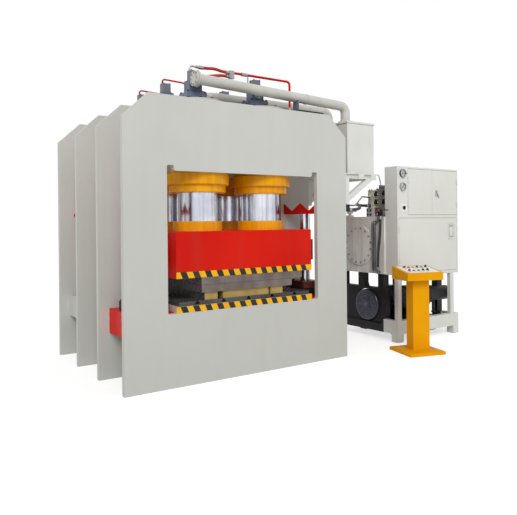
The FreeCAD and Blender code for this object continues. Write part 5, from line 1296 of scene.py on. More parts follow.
@dataclass
class Pipework:
    """Filling pipes, pilot lines, hoses and the overhead tank."""

    front_y: float = 0.272
    front_z: float = 3.075
    front_left: float = -0.450
    slope: float = 0.037
    pipe_radius: float = 0.056
    blank_flange: float = 0.020
    blank_bolts: tuple[int, float, float] = (8, 0.066, 0.012)
    loose_flange: tuple[float, float, float] = (0.004, 0.082, 0.020)
    branches: tuple[float, ...] = (-0.373, 0.427)
    branch_flange_y: float = 0.391
    branch_bolts: tuple[int, float, float] = (6, 0.046, 0.008)
    branch_weld: tuple[float, float, float] = (0.052, 0.041, 0.008)
    seams: tuple[float, ...] = (0.12, 1.0, 1.45)
    seam: Span = (0.0565, 0.005)
    bridge_bar: Box = ((0.69, -0.1, 2.79), (1.06, 0.8, 2.8225))
    saddle: Box = ((0.85, 0.2, 2.82), (0.89, 0.35, 2.965))
    junction_block: Box = ((0.141, 0.551, 3.2), (0.201, 0.593, 3.31))
    union: Box = ((0.309, 0.550, 3.263), (0.381, 0.594, 3.307))
    pilot_tap: Box = ((0.38, 0.5, 3.1), (0.41, 0.585, 3.270))
    # The pilot pipe's lower end is dark grey as painted shade between the front pipe and the plate.
    drop_foot: Box = ((0.97, 0.5, 2.8), (1.04, 0.6, 2.96))
    drop: Point = (1.005, 0.572, 2.864)
    drop_sleeve: Outline = ((0.0142, 0.0), (0.0160, 0.001), (0.0160, 0.105), (0.0142, 0.106))
    nozzles: tuple[tuple[float, float], ...] = ((1.640, 0.272), (1.879, 0.842))
    nozzle_top: float = 2.815
    nozzle_bolts: tuple[int, float, float] = (8, 0.072, 0.010)
    lid_top: float = 2.795
    lid_screws: int = 12
    lid_screw: float = 0.008
    lid_screw_inset: float = 0.018
    lid_right: float = 1.971
    lid_end_gap: float = 0.06
    tank_seams: tuple[float, ...] = (2.150, 2.768)
    tank_seam: Box = ((1.5335, 0.1235, 0.0), (1.9815, 1.2765, 0.004))
    seam_rounding: float = 0.0015
    pilot_hose_radius: float = 0.017
    pressure_hose_radius: float = 0.018
    drain_hose_radius: float = 0.016
    upper_pilot_route: tuple[Point, ...] = (
        (-0.257, 0.545, 3.279), (-0.175, 0.545, 3.279), (-0.060, 0.556, 3.296),
        (0.055, 0.572, 3.280), (0.142, 0.572, 3.280))
    lower_pilot_route: tuple[Point, ...] = (
        (-0.3245, 0.472, 3.165), (-0.225, 0.472, 3.165), (-0.095, 0.505, 3.200),
        (0.045, 0.572, 3.238), (0.142, 0.572, 3.238))
    pressure_route: tuple[Point, ...] = (
        (2.363, 0.605, 1.787), (2.133, 0.605, 1.787), (1.890, 0.325, 1.805),
        (1.6405, 0.0, 1.715), (1.4255, 0.0, 1.715))
    drain_route: tuple[Point, ...] = (
        (2.318, 0.345, 1.644), (2.318, 0.345, 1.440), (2.318, 0.395, 1.140),
        (2.318, 0.395, 0.925))

    def pipe_z(self, x: float) -> float:
        """Return the height of the falling front pipe at X."""
        return self.front_z - (x - self.front_left) * self.slope

    def build(self) -> None:
        """Dress the pipes and tank and add their fittings."""
        dress("filling_pipe_front", Finish.PIPE, [
            Zone(Finish.BLACK, *self.bridge_bar),
            Zone(Finish.COVER, *self.saddle)])
        dress("filling_pipe_rear", Finish.PIPE)
        dress("filling_tank", Finish.TANK)
        dress("tank_bracket", Finish.TANK)
        dress("return_pipe", Finish.TANK)
        dress("pilot_pipe", Finish.RED, [
            Zone(Finish.ALLOY, *self.junction_block),
            Zone(Finish.ALLOY, *self.union),
            Zone(Finish.BRIGHT, *self.pilot_tap),
            # Painted shade on the pilot pipe's lower end.
            Zone(Finish.COVER, *self.drop_foot)])
        self.front_fittings()
        self.tank_fittings()
        self.hoses()

    def front_fittings(self) -> None:
        """Add flange bolts, a loose flange, welds and a sleeve to the filling pipes."""
        piece = Build("filling_pipe_fittings")
        run = Vector((1.0, 0.0, -self.slope)).normalized()
        start = Vector((self.front_left, self.front_y, self.front_z))
        count, pitch_radius, size = self.blank_bolts
        piece.bolt_circle(start - run * self.blank_flange, -run, pitch_radius, count, size, Head.HEX,
                          Finish.BRIGHT)
        gap, outer, thickness = self.loose_flange
        piece.collar(start + run * gap, run, self.pipe_radius, outer, thickness, Finish.PIPE)
        count, pitch_radius, size = self.branch_bolts
        reach, radius, thickness = self.branch_weld
        for x in self.branches:
            z = self.pipe_z(x)
            piece.bolt_circle((x, self.branch_flange_y, z), FRONTWARD, pitch_radius, count, size,
                              Head.HEX, Finish.BRIGHT)
            piece.bead((x, self.front_y + reach, z), REARWARD, radius, thickness, Finish.PIPE)
        for x in self.seams:
            piece.bead((x, self.front_y, self.pipe_z(x)), run, *self.seam, Finish.PIPE)
        piece.turned(self.drop, UP, self.drop_sleeve, Finish.PIPE, Sides.TUBE)
        piece.ride("press", True)

    def tank_fittings(self) -> None:
        """Add the tank's lid screws, nozzle bolts and seams."""
        piece = Build("tank_fittings")
        low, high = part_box("filling_tank")
        count, pitch_radius, size = self.nozzle_bolts
        for x, y in self.nozzles:
            piece.bolt_circle((x, y, self.nozzle_top), UP, pitch_radius, count, size, Head.HEX,
                              Finish.BRIGHT)
        run = high.y - low.y - 2 * self.lid_end_gap
        for index in range(self.lid_screws):
            y = low.y + self.lid_end_gap + index * run / (self.lid_screws - 1)
            for x in (low.x + self.lid_screw_inset, self.lid_right):
                piece.bolt((x, y, self.lid_top), UP, self.lid_screw, Head.DOME, Finish.BRIGHT)
        (x0, y0, _), (x1, y1, thickness) = self.tank_seam
        for z in self.tank_seams:
            piece.block((x0, y0, z), (x1, y1, z + thickness), Finish.TANK, self.seam_rounding)
        piece.ride("press")

    def hoses(self) -> None:
        """Build the four free hoses along their routes."""
        Hose("pilot_hose_upper", self.upper_pilot_route, self.pilot_hose_radius,
             Finish.RED_HOSE).build()
        Hose("pilot_hose_lower", self.lower_pilot_route, self.pilot_hose_radius,
             Finish.RED_HOSE).build()
        Hose("pressure_hose", self.pressure_route, self.pressure_hose_radius, Finish.RUBBER,
             "stiff").build()
        Hose("drain_hose", self.drain_route, self.drain_hose_radius, Finish.RUBBER).build()


# ------------------------------------------------------------------ power unit
@dataclass(frozen=True)
class ValveStack:
    """One column of valves on the manifold, with the fittings that make it up."""

    left: float
    right: float
    bottom: float
    top: float
    middle_y: float = 0.605
    joint_y: Span = (0.5742, 0.6358)
    joint_heights: tuple[float, ...] = (0.16, 0.46, 0.60, 0.90)
    joint: Span = (0.0008, 0.003)
    tie_reach: Span = (0.05, 0.02)
    tie_bolt: float = 0.010
    coil_heights: tuple[float, ...] = (0.3, 0.75)
    coil_ends: tuple[tuple[float, float], ...] = ((0.523, -1.0), (0.687, 1.0))
    coil_nut: Outline = ((0.013, 0.0), (0.013, 0.008), (0.010, 0.010), (0.005, 0.016), (0.0, 0.016))
    plug: Box = ((-0.014, 0.535, 0.019), (0.014, 0.565, 0.046))
    plug_rounding: float = 0.003
    coil_label: Box = ((-0.030, 0.5738, -0.012), (-0.0225, 0.5746, 0.012))
    side_plate: Box = ((-0.001, 0.586, 0.150), (0.0002, 0.624, 0.186))

    def height(self, share: float) -> float:
        """Return the height at a share of the stack."""
        return self.bottom + (self.top - self.bottom) * share

    def add_to(self, piece: Build) -> None:
        """Add the stack's joints, tie bolts, coil nuts, plugs and blank plates.

        Args:
            piece: The piece that takes them.
        """
        middle = (self.left + self.right) / 2
        proud, thickness = self.joint
        reach_x, reach_y = self.tie_reach
        for share in self.joint_heights:
            z = self.height(share)
            piece.block((self.left - proud, self.joint_y[0], z),
                        (self.right + proud, self.joint_y[1], z + thickness), Finish.BLACK)
        for dx in BOTH:
            for dy in BOTH:
                spot = (middle + dx * reach_x, self.middle_y + dy * reach_y, self.top)
                piece.bolt(spot, UP, self.tie_bolt, Head.SOCKET, Finish.BLACK)
        for share in self.coil_heights:
            z = self.height(share)
            for end, way in self.coil_ends:
                piece.turned((middle, end, z), (0, way, 0), self.coil_nut, Finish.BRIGHT, Sides.PIN)
            for (low, high), finish, rounding in ((self.plug, Finish.KNOB, self.plug_rounding),
                                                  (self.coil_label, Finish.DIAL, 0.0)):
                piece.block((middle + low[0], low[1], z + low[2]),
                            (middle + high[0], high[1], z + high[2]), finish, rounding)
        low, high = self.side_plate
        piece.block((self.left + low[0], low[1], self.bottom + low[2]),
                    (self.left + high[0], high[1], self.bottom + high[2]), Finish.PLATE_WHITE)


@dataclass
class PowerUnit:
    """Reservoir, manifold, motors and their base."""

    block_top: float = 1.755
    side_pipes: Box = ((2.29, 0.2, 0.87), (2.3575, 0.55, 1.66))
    shutoff_valve: Box = ((2.294, 0.321, 1.643), (2.342, 0.369, 1.701))
    cover_bolts: Box = ((2.30, 0.4, 0.9), (2.3417, 1.2, 1.6))
    front_stack: Box = ((2.380, 0.5745, 1.7555), (2.5245, 0.6355, 2.0005))
    rear_stack: Box = ((2.5375, 0.5745, 1.7555), (2.6805, 0.6355, 2.0205))
    front_coils: Box = ((2.385, 0.50, 1.775), (2.681, 0.5748, 1.999))
    rear_coils: Box = ((2.385, 0.6352, 1.775), (2.681, 0.70, 1.999))
    relief_valve: Box = ((2.4295, 0.4725, 1.676), (2.5225, 0.5545, 1.760))
    sensors: Box = ((2.57, 0.57, 2.0206), (2.69, 0.64, 2.08))
    hose_port: Box = ((2.33, 0.575, 1.758), (2.386, 0.633, 1.815))
    bent_tube: Box = ((1.4, -0.02, 1.755), (2.3868, 0.62, 1.93))
    stack_spans: tuple[tuple[float, float, float], ...] = ((2.387, 2.524, 2.000), (2.538, 2.680, 2.020))
    ports_x: float = 2.375
    ports_y: tuple[float, ...] = (0.575, 0.635)
    ports_z: tuple[float, ...] = (1.665, 1.725)
    port: Outline = ((0.014, 0.0), (0.014, 0.006), (0.009, 0.010), (0.009, 0.004), (0.0, 0.004))
    block_bolts_x: tuple[float, ...] = (2.445, 2.620)
    block_bolts_y: float = 0.555
    block_bolts_z: tuple[float, ...] = (1.652, 1.740)
    block_bolt: float = 0.010
    relief_cap: Point = (2.476, 0.507, 1.718)
    relief_cap_form: Outline = ((0.026, 0.0), (0.026, 0.008), (0.022, 0.010), (0.0, 0.010))
    sensor_spots: tuple[Point, ...] = ((2.598, 0.605, 2.046), (2.656, 0.605, 2.046))
    sensor_nut: Outline = ((0.0245, 0.0), (0.028, 0.001), (0.028, 0.012), (0.0245, 0.013))
    cowls: tuple[tuple[Point, float], ...] = (((2.394, 0.700, 0.430), 0.186),
                                              ((2.610, 0.270, 0.560), 0.132))
    grille_rings: tuple[float, ...] = (0.18, 0.34, 0.50, 0.66, 0.82, 0.97)
    grille_wire: float = 0.006
    grille_proud: float = 0.0015
    grille_spokes: int = 8
    spoke: tuple[float, float, float] = (0.0035, 0.0002, 0.003)
    hub: tuple[float, float, float] = (0.17, 0.004, 0.001)
    cowl_screws: int = 6
    cowl_screw: tuple[float, float, float] = (2.480, 0.2145, 0.008)
    eye: Point = (2.760, 0.700, 0.626)
    eye_stem: Outline = ((0.016, 0.0), (0.016, 0.012), (0.0, 0.012))
    eye_ring: tuple[float, float, float] = (0.034, 0.019, 0.010)
    grip_bare: float = 0.045
    grip_drop: float = 0.0095
    grip_skin: float = 0.003
    grip_cap: float = 0.002
    cover_centre: Point = (2.3415, 0.782, 1.245)
    cover_rim: Outline = ((0.2725, 0.0), (0.274, 0.002), (0.274, 0.014), (0.2725, 0.0155))
    union_x: float = 2.3395
    union_y: tuple[float, ...] = (0.455, 0.492)
    union_z: tuple[float, ...] = (1.560, 0.925)
    union_nut: tuple[float, float, float] = (0.014, 0.023, 0.010)
    tank_seams: tuple[float, ...] = (0.890, 1.622)
    tank_seam: Box = ((2.3572, 0.325, 0.0), (2.3582, 1.212, 0.005))
    seam_rounding: float = 0.0004

    def build(self) -> None:
        """Dress the power unit and add its fittings."""
        dress("reservoir", Finish.RESERVOIR, [
            Zone(Finish.TUBE, *self.side_pipes),
            Zone(Finish.BLACK, *self.shutoff_valve)])
        dress("manhole_cover", Finish.RESERVOIR, [Zone(Finish.BRIGHT, *self.cover_bolts)])
        dress("valve_lever", Finish.BLACK)
        dress("power_base", Finish.BLACK)
        dress("main_motor", Finish.MOTOR)
        dress("auxiliary_motor", Finish.BLACK)
        dress("valve_manifold", Finish.LILAC, [
            Zone(Finish.BEIGE, *self.front_stack),
            Zone(Finish.STACK, *self.rear_stack),
            Zone(Finish.BLACK, *self.front_coils),
            Zone(Finish.BLACK, *self.rear_coils),
            Zone(Finish.COPPER, *self.relief_valve),
            Zone(Finish.VALVE, *self.sensors),
            Zone(Finish.BLACK, *self.hose_port),
            Zone(Finish.TUBE, *self.bent_tube)])
        self.manifold_fittings()
        self.motor_fittings()
        self.lever_grip()
        self.reservoir_fittings()

    def manifold_fittings(self) -> None:
        """Add both valve stacks' fittings, and the ports, bolts and nuts of the manifold."""
        piece = Build("manifold_fittings")
        for left, right, top in self.stack_spans:
            ValveStack(left, right, self.block_top, top).add_to(piece)
        for y in self.ports_y:
            for z in self.ports_z:
                piece.turned((self.ports_x, y, z), LEFT, self.port, Finish.BLACK, Sides.PIN)
        for x in self.block_bolts_x:
            for z in self.block_bolts_z:
                piece.bolt((x, self.block_bolts_y, z), FRONTWARD, self.block_bolt, Head.SOCKET,
                           Finish.BLACK)
        piece.turned(self.relief_cap, FRONTWARD, self.relief_cap_form, Finish.BRIGHT, Sides.HEXAGON)
        for spot in self.sensor_spots:
            piece.turned(spot, UP, self.sensor_nut, Finish.BRIGHT, Sides.HEXAGON)
        piece.ride("press")

    def motor_fittings(self) -> None:
        """Add the fan cowls' grilles, the cowl screws and the main motor's lifting eye."""
        piece = Build("motor_fittings")
        # The grilles' lighter finish paints in their highlights on the dark cowls.
        for (x, y, z), radius in self.cowls:
            for share in self.grille_rings:
                piece.bead((x - self.grille_proud, y, z), LEFT, radius * share, self.grille_wire,
                           Finish.GRILLE, Sides.GRILLE)
            proud, sunk, half_width = self.spoke
            for index in range(self.grille_spokes):
                turn = Matrix.Rotation(2 * math.pi / self.grille_spokes * index, 4, "X")
                piece.block((-proud, -half_width, radius * self.grille_rings[0]),
                            (-sunk, half_width, radius * self.grille_rings[-1]), Finish.GRILLE,
                            turn=Matrix.Translation(Vector((x, y, z))) @ turn)
            share, thickness, chamfer = self.hub
            piece.disc((x, y, z), LEFT, radius * share, thickness, Finish.GRILLE, chamfer)
        (_, y, z), _ = self.cowls[0]
        x, reach, size = self.cowl_screw
        for index in range(self.cowl_screws):
            turn = Matrix.Rotation(2 * math.pi / self.cowl_screws * index, 4, "X")
            spot = turn @ Vector((0, 0, reach))
            piece.bolt((x, y + spot.y, z + spot.z), spot, size, Head.DOME, Finish.BRIGHT)
        rise, radius, wire = self.eye_ring
        piece.turned(self.eye, UP, self.eye_stem, Finish.GRILLE, Sides.WASHER)
        x, y, z = self.eye
        piece.bead((x, y, z + rise), RIGHT, radius, wire, Finish.GRILLE, Sides.TUBE)
        piece.ride("press")

    def lever_grip(self) -> None:
        """Add the rubber grip of the shut-off valve's lever."""
        low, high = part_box("valve_lever")
        skin = self.grip_skin
        piece = Build("lever_grip")
        piece.block((low.x - skin, low.y - self.grip_cap, high.z - self.grip_drop),
                    (high.x + skin, high.y - self.grip_bare, high.z + skin), Finish.RUBBER, skin)
        piece.ride("shutoff_lever")

    def reservoir_fittings(self) -> None:
        """Add the manhole's rim, the side pipes' nuts and the weld seams of the reservoir."""
        piece = Build("reservoir_fittings")
        piece.turned(self.cover_centre, RIGHT, self.cover_rim, Finish.RESERVOIR, Sides.COVER)
        for y in self.union_y:
            for z in self.union_z:
                piece.collar((self.union_x, y, z), RIGHT, *self.union_nut, Finish.BRIGHT,
                             Sides.HEXAGON)
        (x0, y0, _), (x1, y1, thickness) = self.tank_seam
        for z in self.tank_seams:
            piece.block((x0, y0, z), (x1, y1, z + thickness), Finish.RESERVOIR,
                        self.seam_rounding)
        piece.ride("press")


# ------------------------------------------------------------------ cabinet and console
@dataclass
class Cabinet:
    """The electric cabinet with its doors, gauges and stand."""

    plate: Point = (2.498, 0.1005, 1.748)
    plate_half: Span = (0.050, 0.046)
    plate_screw: float = 0.003
    inside: Box = ((2.38, 0.20, 0.88), (3.59, 0.3125, 2.27))
    selector_plate: Box = ((2.441, 0.0995, 1.695), (2.5545, 0.1015, 1.801))
    upper_case: Box = ((2.41, 0.077, 2.14), (2.53, 0.1015, 2.26))
    lower_case: Box = ((2.41, 0.077, 1.96), (2.53, 0.1015, 2.08))
    lamp: Box = ((2.537, 0.092, 2.185), (2.559, 0.1015, 2.207))
    # The pull's dish takes a darker finish as painted shade in the recess.
    pull_dish: Box = ((3.400, 0.1035, 1.329), (3.517, 0.1150, 1.532))
    gauge_x: float = 2.470
    gauge_heights: tuple[float, ...] = (2.196, 2.023)
    face_radius: float = 0.0435
    face_thickness: float = 0.0006
    case_front: float = 0.078
    rim: tuple[float, float, float] = (0.0440, 0.0520, 0.0020)
    glass_gap: float = 0.0022
    glass: float = 0.0012
    dial_y: float = 0.0915
    mark_proud: float = 0.0008
    ticks: int = 31
    tick_group: int = 5
    tick_start: float = 225.0
    tick_step: float = 9.0
    tick_outer: float = 0.0395
    tick_inner: Span = (0.0315, 0.0355)
    tick_half: Span = (0.0009, 0.0005)
    red_marks: int = 8
    red_start: float = -5.0
    red_step: float = 5.0
    red_span: Span = (0.0262, 0.0296)
    red_half: float = 0.0014
    skirt: Box = ((2.3762, 0.1012, 0.846), (3.5988, 0.1048, 0.874))
    thin_rounding: float = 0.0008
    dot_turns: tuple[int, ...] = (0, 45, 90, 135, 180)
    dot_ring: float = 0.034
    dot_y: float = 0.1003
    dot: Span = (0.0022, 0.0004)
    boss: Box = ((3.126, 0.0965, 1.905), (3.170, 0.1018, 1.990))
    boss_rounding: float = 0.002
    lock: Point = (3.148, 0.0966, 1.922)
    lock_form: tuple[float, float, float] = (0.008, 0.003, 0.001)
    latch: Box = ((3.414, 0.0988, 1.342), (3.503, 0.1080, 1.520))
    latch_rounding: float = 0.003
    latch_plate: Box = ((3.420, 0.0972, 1.362), (3.492, 0.0990, 1.486))
    latch_key: Point = (3.4585, 0.0988, 1.504)
    latch_key_form: tuple[float, float, float] = (0.006, 0.002, 0.0005)

    def build(self) -> None:
        """Dress the cabinet and add dials, glasses, plates and the pull's latch."""
        dress("cabinet", Finish.CABINET, [
            Zone(Finish.BRIGHT, *self.inside),
            Zone(Finish.PLATE_WHITE, *self.selector_plate),
            Zone(Finish.KNOB, *self.upper_case),
            Zone(Finish.BRIGHT, *self.lower_case),
            Zone(Finish.LAMP_RED, *self.lamp)])
        for node in ("cabinet_left_door", "cabinet_right_door", "cabinet_stand"):
            dress(node, Finish.CABINET)
        # Painted shade: the pull's dish is darker than the door.
        dress("cabinet_lower_door", Finish.CABINET, [Zone(Finish.LILAC, *self.pull_dish)])
        dress("door_handle", Finish.ALLOY)
        dress("mode_selector", Finish.KNOB)
        for name in ("upper", "lower"):
            dress(f"gauge_needle_{name}", Finish.NEEDLE)
        self.dials()
        self.glasses()
        self.trim()
        self.handle_boss()
        self.pull_latch()

    def mark(self, piece: Build, centre_z: float, turn: float, span: tuple[float, float], half: float,
             finish: Finish) -> None:
        """Add one printed mark on a dial.

        Args:
            piece: The piece that takes the mark.
            centre_z: The dial's height.
            turn: The mark's angle from the right, in degrees.
            span: Its inner and outer radius.
            half: Half its width.
            finish: Its finish.
        """
        out = Vector((math.cos(math.radians(turn)), 0.0, math.sin(math.radians(turn))))
        side = Vector((-out.z, 0.0, out.x)) * half
        middle = Vector((self.gauge_x, self.dial_y - self.mark_proud, centre_z))
        piece.quad([middle + out * span[0] - side, middle + out * span[1] - side,
                    middle + out * span[1] + side, middle + out * span[0] + side], finish)

    def dials(self) -> None:
        """Build the two printed dials and the cases' bright rims."""
        piece = Build("gauge_dials")
        for z in self.gauge_heights:
            piece.disc((self.gauge_x, self.dial_y, z), FRONTWARD, self.face_radius,
                       self.face_thickness, Finish.DIAL)
            for index in range(self.ticks):
                kind = 0 if index % self.tick_group == 0 else 1
                self.mark(piece, z, self.tick_start - self.tick_step * index,
                          (self.tick_inner[kind], self.tick_outer), self.tick_half[kind], Finish.NEEDLE)
            for index in range(self.red_marks):
                self.mark(piece, z, self.red_start - self.red_step * index, self.red_span,
                          self.red_half, Finish.RED_CAP)
            piece.collar((self.gauge_x, self.case_front, z), FRONTWARD, *self.rim, Finish.BRIGHT)
        piece.ride("press")

    def glasses(self) -> None:
        """Build the two thin cover glasses."""
        piece = Build("gauge_glasses")
        for z in self.gauge_heights:
            piece.disc((self.gauge_x, self.case_front + self.glass_gap, z), FRONTWARD,
                       self.face_radius, self.glass, Finish.GLASS)
        piece.ride("press")

    def trim(self) -> None:
        """Add the skirt strip, and the selector plate's screws and printed dots."""
        piece = Build("cabinet_trim")
        piece.block(*self.skirt, Finish.CABINET, self.thin_rounding)
        x, y, z = self.plate
        for dx in BOTH:
            for dz in BOTH:
                spot = (x + dx * self.plate_half[0], y, z + dz * self.plate_half[1])
                piece.bolt(spot, FRONTWARD, self.plate_screw, Head.DOME, Finish.BRIGHT)
        radius, thickness = self.dot
        for turn in self.dot_turns:
            way = Vector((math.cos(math.radians(turn)), 0.0, math.sin(math.radians(turn))))
            spot = Vector((x, self.dot_y, z)) + way * self.dot_ring
            piece.disc(spot, FRONTWARD, radius, thickness, Finish.NEEDLE, 0.0, Sides.DOT)
        piece.ride("press")

    def handle_boss(self) -> None:
        """Add the plate and the lock under the door handle."""
        piece = Build("handle_boss")
        piece.block(*self.boss, Finish.ALLOY, self.boss_rounding)
        radius, thickness, chamfer = self.lock_form
        piece.disc(self.lock, FRONTWARD, radius, thickness, Finish.BRIGHT, chamfer,
                   Sides.LOCK)
        piece.ride("right_door")

    def pull_latch(self) -> None:
        """Add the latch plate and the key's round plate in the lower door's pull."""
        piece = Build("pull_latch")
        piece.block(*self.latch, Finish.LILAC, self.latch_rounding)
        piece.block(*self.latch_plate, Finish.CABINET, self.thin_rounding)
        radius, thickness, chamfer = self.latch_key_form
        piece.disc(self.latch_key, FRONTWARD, radius, thickness, Finish.ALLOY, chamfer,
                   Sides.WASHER)
        piece.ride("lower_door")


@dataclass
class Console:
    """The separate push-button console."""

    centre: Span = (2.181, -0.366)
    turn: float = math.radians(-16.5)
    desk_front: float = 0.087
    desk_rear: float = 0.152
    desk_depth: float = 0.347
    desk_width: float = 0.483
    desk_bottom: float = 0.875
    desk_shift: Span = (0.004, -0.012)
    rim: float = 0.030
    plate: float = 0.003
    plate_margin: Span = (0.001, 0.004)
    plate_skin: Span = (0.0001, 0.0004)
    rear_y: float = 0.078
    front_y: float = -0.062
    rear_row: tuple[tuple[float, Finish], ...] = (
        (-0.132, Finish.KNOB), (-0.073, Finish.LAMP_RED), (-0.014, Finish.LAMP_AMBER),
        (0.045, Finish.KNOB), (0.104, Finish.LAMP_GREEN), (0.163, Finish.KNOB))
    front_row: tuple[tuple[float, Finish], ...] = (
        (-0.148, Finish.KNOB), (-0.086, Finish.LAMP_RED), (-0.024, Finish.LAMP_GREEN),
        (0.038, Finish.KNOB), (0.100, Finish.KNOB))
    control_half: float = 0.018
    control_height: float = 0.020
    label: Box = ((-0.013, -0.034, 0.0001), (0.013, -0.027, 0.0007))
    bezel: tuple[float, float, float] = (0.0165, 0.0195, 0.0030)
    corner_inset: Span = (0.012, 0.014)
    corner_screw: float = 0.0045
    base_half: Span = (0.2373, 0.2348)
    base_bottom: float = 0.0002
    base_top: float = 0.038
    base_rounding: float = 0.004
    anchor_reach: Span = (0.205, 0.203)
    anchor: float = 0.010
    column: Span = (0.025, 0.015)
    column_half: Span = (0.113, 0.0755)
    weld_length: Span = (0.112, 0.075)
    weld_half: float = 0.004
    weld_height: float = 0.005
    weld_sink: float = 0.001
    weld_rounding: float = 0.002

    @property
    def floor(self) -> Matrix:
        """Return the console's place on the floor."""
        return Matrix.Translation(Vector((*self.centre, 0.0))) @ Matrix.Rotation(self.turn, 4, "Z")

    @property
    def face(self) -> Matrix:
        """Work out the place of the face plate's middle.

        Returns:
            The place, with Z out of the plate.
        """
        slope = math.atan2(self.desk_rear - self.desk_front, self.desk_depth)
        middle = self.desk_bottom + (self.desk_front + self.desk_rear) / 2
        shift = Vector((self.desk_shift[0], self.desk_shift[1] - self.plate * math.sin(slope),
                        middle + self.plate * math.cos(slope)))
        return self.floor @ Matrix.Translation(shift) @ Matrix.Rotation(slope, 4, "X")

    @property
    def face_half(self) -> tuple[float, float]:
        """Return half the face plate's width and length."""
        return (self.desk_width / 2 - self.rim + self.plate_margin[0],
                self.desk_depth / 2 - self.rim + self.plate_margin[1])

    def build(self) -> None:
        """Dress the console and its controls and add the plate's labels and screws."""
        face, half = self.face, self.control_half
        half_w, half_l = self.face_half
        under, over = self.plate_skin
        zones = [Zone(Finish.PLATE_WHITE, (-half_w, -half_l, -self.plate - under),
                      (half_w, half_l, over), face)]
        for x, y, finish in self.controls():
            zones.append(Zone(finish, (x - half, y - half, SKIN),
                              (x + half, y + half, self.control_height), face))
        dress("console_pedestal", Finish.AMBER)
        dress("console_desk", Finish.AMBER, zones)
        for node, finish in (("emergency_stop", Finish.RED_CAP), ("rise_button", Finish.GREEN_CAP),
                             ("start_button", Finish.RED_CAP), ("lower_button", Finish.KNOB),
                             ("console_selector_rear", Finish.KNOB),
                             ("console_selector_front", Finish.KNOB)):
            dress(node, finish)
        self.plate_fittings()
        self.base_fittings()

    def controls(self) -> list[tuple[float, float, Finish]]:
        """Return every control's place on the face plate, with the finish of its fixed part."""
        rows = ((self.rear_y, self.rear_row), (self.front_y, self.front_row))
        return [(x, y, finish) for y, row in rows for x, finish in row]

    def plate_fittings(self) -> None:
        """Add blank label strips, bezels and corner screws to the face plate."""
        piece = Build("console_plate_fittings")
        face = self.face
        up = (face.to_3x3() @ Vector(UP)).normalized()
        (x0, y0, z0), (x1, y1, z1) = self.label
        for x, y, _ in self.controls():
            piece.block((x + x0, y + y0, z0), (x + x1, y + y1, z1), Finish.COVER, turn=face)
            piece.collar(face @ Vector((x, y, z0)), up, *self.bezel, Finish.BRIGHT,
                         Sides.TUBE)
        half_w, half_l = self.face_half
        inset_w, inset_l = self.corner_inset
        for x in (-half_w + inset_w, half_w - inset_w):
            for y in (-half_l + inset_l, half_l - inset_l):
                piece.bolt(face @ Vector((x, y, 0.0)), up, self.corner_screw, Head.DOME, Finish.BRIGHT)
        piece.ride("press")

    def base_fittings(self) -> None:
        """Add the thick base plate, its anchor bolts and the column's welds."""
        piece = Build("console_base_fittings")
        floor = self.floor
        half_x, half_y = self.base_half
        piece.block((-half_x, -half_y, self.base_bottom), (half_x, half_y, self.base_top),
                    Finish.AMBER, self.base_rounding, floor)
        for dx in BOTH:
            for dy in BOTH:
                spot = Vector((dx * self.anchor_reach[0], dy * self.anchor_reach[1], self.base_top))
                piece.bolt(floor @ spot, UP, self.anchor, Head.HEX, Finish.AMBER)
        x, y = self.column
        low, high = self.base_top - self.weld_sink, self.base_top + self.weld_height
        (far_x, far_y), (long_x, long_y), half = self.column_half, self.weld_length, self.weld_half
        for dx, dy, wide, deep in ((0.0, -far_y, long_x, half), (0.0, far_y, long_x, half),
                                   (-far_x, 0.0, half, long_y), (far_x, 0.0, half, long_y)):
            piece.block((x + dx - wide, y + dy - deep, low), (x + dx + wide, y + dy + deep, high),
                        Finish.AMBER, self.weld_rounding, floor)
        piece.ride("press")


